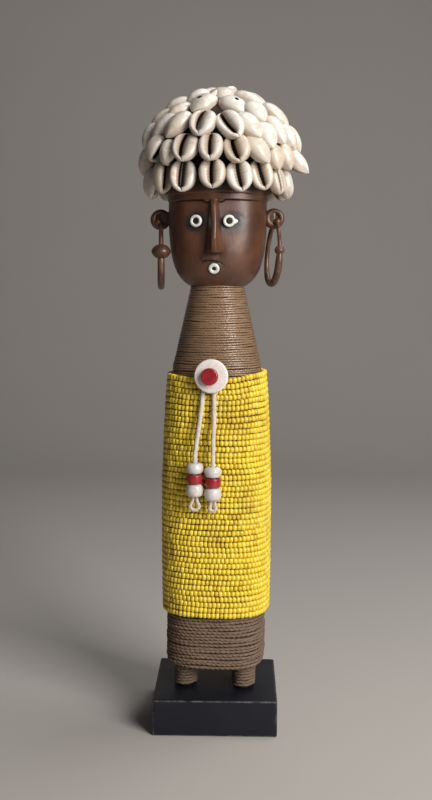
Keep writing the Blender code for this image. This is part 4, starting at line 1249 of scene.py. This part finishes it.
# Each shell's bearing from the front, its height and its reach from the head's axis, then in degrees
# its lean out of the upright, its slant and the roll that turns the slit away; last its kind, length
# and width
frontShells = [
    # lowest row
    (-75, 328.1, 41.7, 12, 0, 150, 0, 20.5, 13.5), (-49, 330.5, 41.8, 13, -9, 100, 0, 22.4, 14.0),
    (-25, 330.2, 41.6, 14, -2, 22, 1, 20.4, 17.2), (1, 331.2, 41.8, 15, -1, -1, 0, 19.6, 17.6),
    (24, 330.0, 41.6, 14, -7, -19, 0, 19.8, 17.0), (45, 331.4, 41.8, 15, -9, -36, 0, 20.4, 15.8),
    (66, 329.1, 41.6, 12, -6, -1, 0, 19.5, 14.5), (90, 327.8, 42.6, 12, 0, 22, 0, 20.0, 14.5),
    # second row
    (-81, 342.2, 45.6, 20, 0, 180, 3, 20.0, 14.5), (-55, 348.0, 43.9, 33, 12, 118, 1, 18.5, 14.5),
    (-40, 344.7, 43.2, 30, -10, 145, 0, 18.0, 13.0), (-22, 346.7, 43.9, 31, -2, 11, 2, 20.6, 17.5),
    (-1, 346.6, 44.0, 31, -1, 0, 0, 19.8, 16.0), (20, 345.6, 44.1, 30, -8, -20, 2, 20.2, 17.5),
    (38, 346.1, 44.0, 32, -26, 176, 3, 23.2, 14.3), (57, 342.5, 43.6, 27, 2, 180, 3, 19.5, 13.8),
    (72, 343.6, 44.2, 30, 0, 180, 3, 20.0, 13.5), (88, 341.6, 48.4, 52, 6, 190, 3, 24.0, 15.5),
    # third row
    (-77, 356.9, 44.0, 30, 0, 180, 3, 20.0, 14.5), (-37, 361.3, 39.2, 44, 16, 172, 3, 23.1, 15.0),
    (-57, 361.8, 39.3, 46, 10, 188, 3, 22.5, 14.5), (-11, 361.3, 39.1, 42, 0, 2, 2, 21.6, 17.5),
    (14, 360.1, 39.8, 43, -24, -18, 2, 23.2, 16.0), (31, 360.1, 39.7, 43, -26, 180, 3, 22.4, 14.2),
    (47, 354.6, 42.0, 40, -4, 180, 3, 20.8, 14.5), (61, 358.6, 41.0, 42, 4, 188, 3, 23.0, 14.5),
    (81, 356.4, 42.6, 36, 0, 180, 3, 20.0, 14.5), (96, 356.0, 45.0, 34, 0, 188, 3, 21.0, 13.5),
    # fourth row
    (-78, 367.4, 37.6, 56, 0, 184, 3, 21.0, 13.5), (-56, 370.6, 30.4, 64, 6, 180, 3, 20.5, 13.5),
    (43, 368.8, 34.1, 53, -12, 180, 3, 18.5, 14.5), (80, 369.2, 34.6, 50, -4, 180, 3, 24.0, 17.0),
    # crown
    (-80, 375.6, 28.0, 72, 0, 180, 3, 20.0, 13.5), (-25, 374.9, 23.0, 60, 14, 180, 4, 20.5, 16.5),
    (22, 373.2, 25.0, 58, -42, 182, 4, 21.0, 14.5), (-66, 379.8, 16.6, 66, 4, 176, 3, 18.5, 13.5),
    (-41, 382.4, 9.2, 62, -4, 8, 0, 18.0, 15.5), (8, 381.4, 8.2, 70, -10, 180, 3, 18.5, 15.0),
    (76, 379.0, 17.8, 70, 2, 180, 3, 23.5, 16.0),
]

# Rows round the sides and the back: bearings from and to, count, height, reach, lean
backRows = [
    (112, 264, 8, 329.0, 41.8, 14), (108, 256, 8, 344.5, 45.0, 34), (118, 258, 6, 358.5, 41.5, 44),
    (108, 250, 6, 370.5, 34.5, 56), (118, 244, 4, 379.5, 21.0, 68), (180, 181, 1, 384.5, 8.0, 76),
]


def shellSeats():
    chance = random.Random(shells["seed"])
    listed = list(frontShells)
    for start, end, count, height, reach, lean in backRows:
        for i in range(count):
            bearing = mix(start, end, i / max(count - 1, 1)) + chance.uniform(-3, 3)
            listed.append((
                bearing, height + chance.uniform(-1, 1), reach + chance.uniform(-1, 1),
                lean + chance.uniform(-5, 5), chance.uniform(-12, 12),
                chance.choice((0, 180)) + chance.uniform(-15, 15), chance.choice((0, 2, 3)),
                chance.uniform(19, 22), chance.uniform(15, 17.5),
            ))
    seats = []
    for bearing, height, reach, lean, slant, roll, kind, length, width in listed:
        angle = math.radians(bearing)
        sway = 3.0 * ease(325, 385, height)
        deep = -reach * math.cos(angle) * head["depth"] / head["width"]
        place = Vector((sway + reach * math.sin(angle), deep, height))
        turn = Matrix.Rotation(angle, 4, "Z") @ rotated(-lean, "X")
        turn = turn @ rotated(slant, "Y") @ rotated(roll, "Z")
        across, along = 0.95 * width / shells["width"], 0.98 * length / shells["length"]
        seats.append({
            "place": place, "turn": tuple(turn.to_euler()),
            "stretch": (across, chance.uniform(0.92, 1.04), along), "kind": kind,
        })
    return seats


def makeWig():
    masters = bpy.data.collections.new("cowries")
    for i, kind in enumerate(shells["kinds"], 1):
        masters.objects.link(cowrieMaster(f"cowrie{i}", kind, holed=i == len(shells["kinds"])))
    source = seatMesh("shellSeats", shellSeats())
    applyNodes(source, sewing, {
        "masters": masters, "size": 1.0, "sizeSpread": 0.02, "seed": shells["seed"], "finish": cowrieShell(),
    })
    wig = finished(source, "cowries")
    # the cap under the shells is painted near-black: painted shade in the gaps between the shells
    cloth = Paint("wigCap", 0.85)
    threads = cloth.clouds(420, 4)
    cloth.colour(cloth.blend(threads, (0.010, 0.006, 0.004), (0.04, 0.024, 0.015)))
    cloth.relief(threads, 0.6, 0.001)
    rings = []
    for rise in [61.5 + i * 2.4 for i in range(21)] + [112.5, 114.4, 115.6, 115.95]:
        share = headShare(rise)
        grow = 3.2 + 0.3 * math.sin(rise)
        section = (head["width"] / 2 * share, head["depth"] / 2 * share, head["power"])
        rings.append(sectionRing(section, 96, grow, chin + rise + 3 * ease(90, 116, rise)))
    cap = pieceFrom(skin(rings), "wigCap", cloth.material)
    for piece in (wig, cap):
        settle(piece, "shell_wig")


makeWig()
print("wig sewn")

# Breast disc and its red button
button = {
    "disc": 21.4, "discThick": 2.6, "red": 10.8, "redThick": 4.0, "redX": -0.6,
    "white": (0.80, 0.745, 0.70), "speck": (0.45, 0.37, 0.32),
}


def makeButton():
    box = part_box("breast_disc")
    bone = Paint("discBone", 0.6)
    mottled = bone.clouds(420, 5, 0.7)
    specks = bone.ramp(bone.cells(650), (0.1, 1.0), (0.24, 0.0))
    body = bone.blend(bone.ramp(mottled, (0.4, 0.0), (0.75, 0.6)), button["white"], (0.62, 0.55, 0.49))
    bone.colour(bone.blend(bone.maths("MULTIPLY", specks, bone.clouds(140, 3)), body, button["speck"]))
    bone.relief(bone.maths("ADD", mottled, specks), 0.35, 0.0004)
    centre = Vector([(low + high) / 2 for low, high in zip(*box)])
    standing = figureTurn @ rotated(90, "X")
    placed = Matrix.Translation(centre) @ standing @ drawing
    outer, half = button["disc"] / 2, button["discThick"] / 2
    profile = [(0.05, -half), (outer - 0.6, -half)]
    for i in range(9):
        turn = -math.pi / 2 + math.pi * i / 8
        profile.append((outer - 0.9 + 0.9 * math.cos(turn), half * math.sin(turn)))
    profile += [(outer - 1.6, half + 0.12), (outer * 0.6, half + 0.22), (0.05, half + 0.25)]
    shape = spun(profile, 96)
    for vert in shape.verts:
        vert.co *= 1 + 0.008 * wander(vert.co.x * 0.3, vert.co.y * 0.3, 4)
    disc = pieceFrom(shape, "breastDisc", bone.material, placed, angle=50)
    settle(disc, "breast_disc")
    outer, thick = button["red"] / 2, button["redThick"]
    low = half + 0.3
    profile = [(0.05, low), (outer - 0.5, low), (outer, low + 0.5), (outer, low + thick - 0.9)]
    for i in range(1, 8):
        turn = math.pi / 2 * i / 7
        profile.append((outer - 0.9 + 0.9 * math.cos(turn), low + thick - 0.9 + 0.9 * math.sin(turn)))
    profile += [(outer * 0.5, low + thick), (outer * 0.2, low + thick), (0.05, low + thick)]
    aside = Matrix.Translation((button["redX"], 0, 0))
    red = pieceFrom(spun(profile, 64), "redButton", redGlaze, placed @ aside)
    settle(red, "breast_button")


makeButton()
print("breast disc made")

# Plinth
plinth = {
    "side": 80.0, "height": 23.5, "edge": 0.9,
    "black": (0.0045, 0.0055, 0.0095), "worn": (0.15, 0.14, 0.14),
}


def plinthPaint():
    paint = Paint("blackSatin", 0.36, **{"Specular IOR Level": 0.36})
    half, middle = plinth["side"] / 2000, plinth["height"] / 2000
    sides = [paint.maths("DIVIDE", paint.maths("ABSOLUTE", paint.axis(label)), half) for label in ("X", "Y")]
    away = paint.maths("ABSOLUTE", paint.maths("SUBTRACT", paint.axis("Z"), middle))
    sides.append(paint.maths("DIVIDE", away, middle))
    margin = [1 - plinth["edge"] / (plinth[label] / 2) for label in ("side", "side", "height")]
    near = [paint.ramp(value, (edge - 0.012, 0.0), (edge + 0.015, 1.0)) for value, edge in zip(sides, margin)]
    pairs = [paint.maths("MULTIPLY", near[a], near[b]) for a, b in ((0, 1), (0, 2), (1, 2))]
    edge = paint.maths("MAXIMUM", paint.maths("MAXIMUM", pairs[0], pairs[1]), pairs[2])
    rubbed = paint.ramp(paint.clouds(130, 6, 0.7), (0.42, 0.0), (0.62, 1.0))
    wear = paint.maths("MULTIPLY", edge, rubbed)
    dust = paint.ramp(paint.clouds(900, 2), (0.70, 0.0), (0.76, 0.55))
    clouds = paint.clouds(28, 5)
    body = paint.blend(clouds, plinth["black"], (0.0105, 0.012, 0.019))
    body = paint.blend(dust, body, (0.07, 0.068, 0.066))
    paint.colour(paint.blend(paint.maths("MULTIPLY", wear, 0.75), body, plinth["worn"]))
    paint.rough(paint.ramp(clouds, (0.3, 0.3), (0.7, 0.5)))
    brushed = paint.clouds(1.0, 5, 0.6, paint.stretched(60, 700, 700))
    paint.relief(brushed, 0.18, 0.0005)
    return paint.material


def makePlinth():
    shape = bmesh.new()
    bmesh.ops.create_cube(shape, size=1)
    bmesh.ops.scale(shape, vec=(plinth["side"], plinth["side"], plinth["height"]), verts=shape.verts)
    bmesh.ops.translate(shape, vec=(0, 0, plinth["height"] / 2), verts=shape.verts)
    bmesh.ops.subdivide_edges(shape, edges=shape.edges[:], cuts=39, use_grid_fill=True)
    rim = plinth["edge"]
    reach = plinth["side"] / 2 - rim
    for vert in shape.verts:
        x, y, z = vert.co
        inner = Vector((
            max(min(x, reach), -reach), max(min(y, reach), -reach), max(min(z, plinth["height"] - rim), rim),
        ))
        away = vert.co - inner
        if away.length > 1e-6:
            vert.co = inner + away.normalized() * rim
        worn = 0.16 * max(0, wander(*(vert.co * 0.16)))
        if (abs(away.x) > 0.4) + (abs(away.y) > 0.4) + (abs(away.z) > 0.4) > 1:
            vert.co = vert.co + (inner - vert.co).normalized() * worn
    piece = pieceFrom(shape, "plinthBlock", plinthPaint(), drawing, angle=70)
    settle(piece, "plinth")


makePlinth()
print("plinth made")

# Floor, backdrop and lights
studio = {
    "floor": (0.46, 0.43, 0.40), "world": (0.74, 0.82, 1.0), "worldStrength": 0.045,
    "lights": [
        {"name": "key", "place": (0.76, -0.90, 0.72), "aim": (0, 0, 0.27),
         "size": (0.62, 0.95), "power": 22, "hue": (1.0, 0.97, 0.95)},
        {"name": "fill", "place": (-0.9, -1.0, 0.5), "aim": (0, 0, 0.22),
         "size": (0.7, 0.7), "power": 0.45, "hue": (1.0, 0.88, 0.76)},
        {"name": "top", "place": (0.35, 0.15, 1.2), "aim": (0, 0, 0.2),
         "size": (0.5, 0.5), "power": 4.5, "hue": (1.0, 1.0, 1.0)},
    ],
}


def makeStudio():
    matte = Paint("backdrop", 0.9)
    matte.colour(matte.blend(matte.clouds(3, 3), studio["floor"], tuple(c * 0.93 for c in studio["floor"])))
    profile = [(-2.5, 0.0), (0.9, 0.0)]
    for i in range(1, 13):
        turn = math.pi / 2 * i / 12
        profile.append((0.9 + 0.6 * math.sin(turn), 0.6 - 0.6 * math.cos(turn)))
    profile.append((1.5, 2.6))
    shape = bmesh.new()
    lines = [[shape.verts.new((x, y, z)) for x in (-3, 3)] for y, z in profile]
    for a, b in zip(lines, lines[1:]):
        shape.faces.new((a[0], a[1], b[1], b[0]))
    floor = pieceFrom(shape, "backdrop", matte.material, Matrix.Identity(4))
    world = bpy.data.worlds.new("studio")
    world.use_nodes = True
    world.node_tree.nodes["Background"].inputs["Color"].default_value = (*studio["world"], 1)
    world.node_tree.nodes["Background"].inputs["Strength"].default_value = studio["worldStrength"]
    scene.world = world
    scene.view_settings.view_transform = "Standard"
    for lamp in studio["lights"]:
        data = bpy.data.lights.new(lamp["name"], "AREA")
        data.shape = "RECTANGLE"
        data.size, data.size_y = lamp["size"]
        data.energy = lamp["power"]
        data.color = lamp["hue"]
        light = linked(lamp["name"], data)
        place = Vector(lamp["place"])
        light.location = place
        light.rotation_euler = (Vector(lamp["aim"]) - place).to_track_quat("-Z", "Y").to_euler()


makeStudio()
print("studio lit")
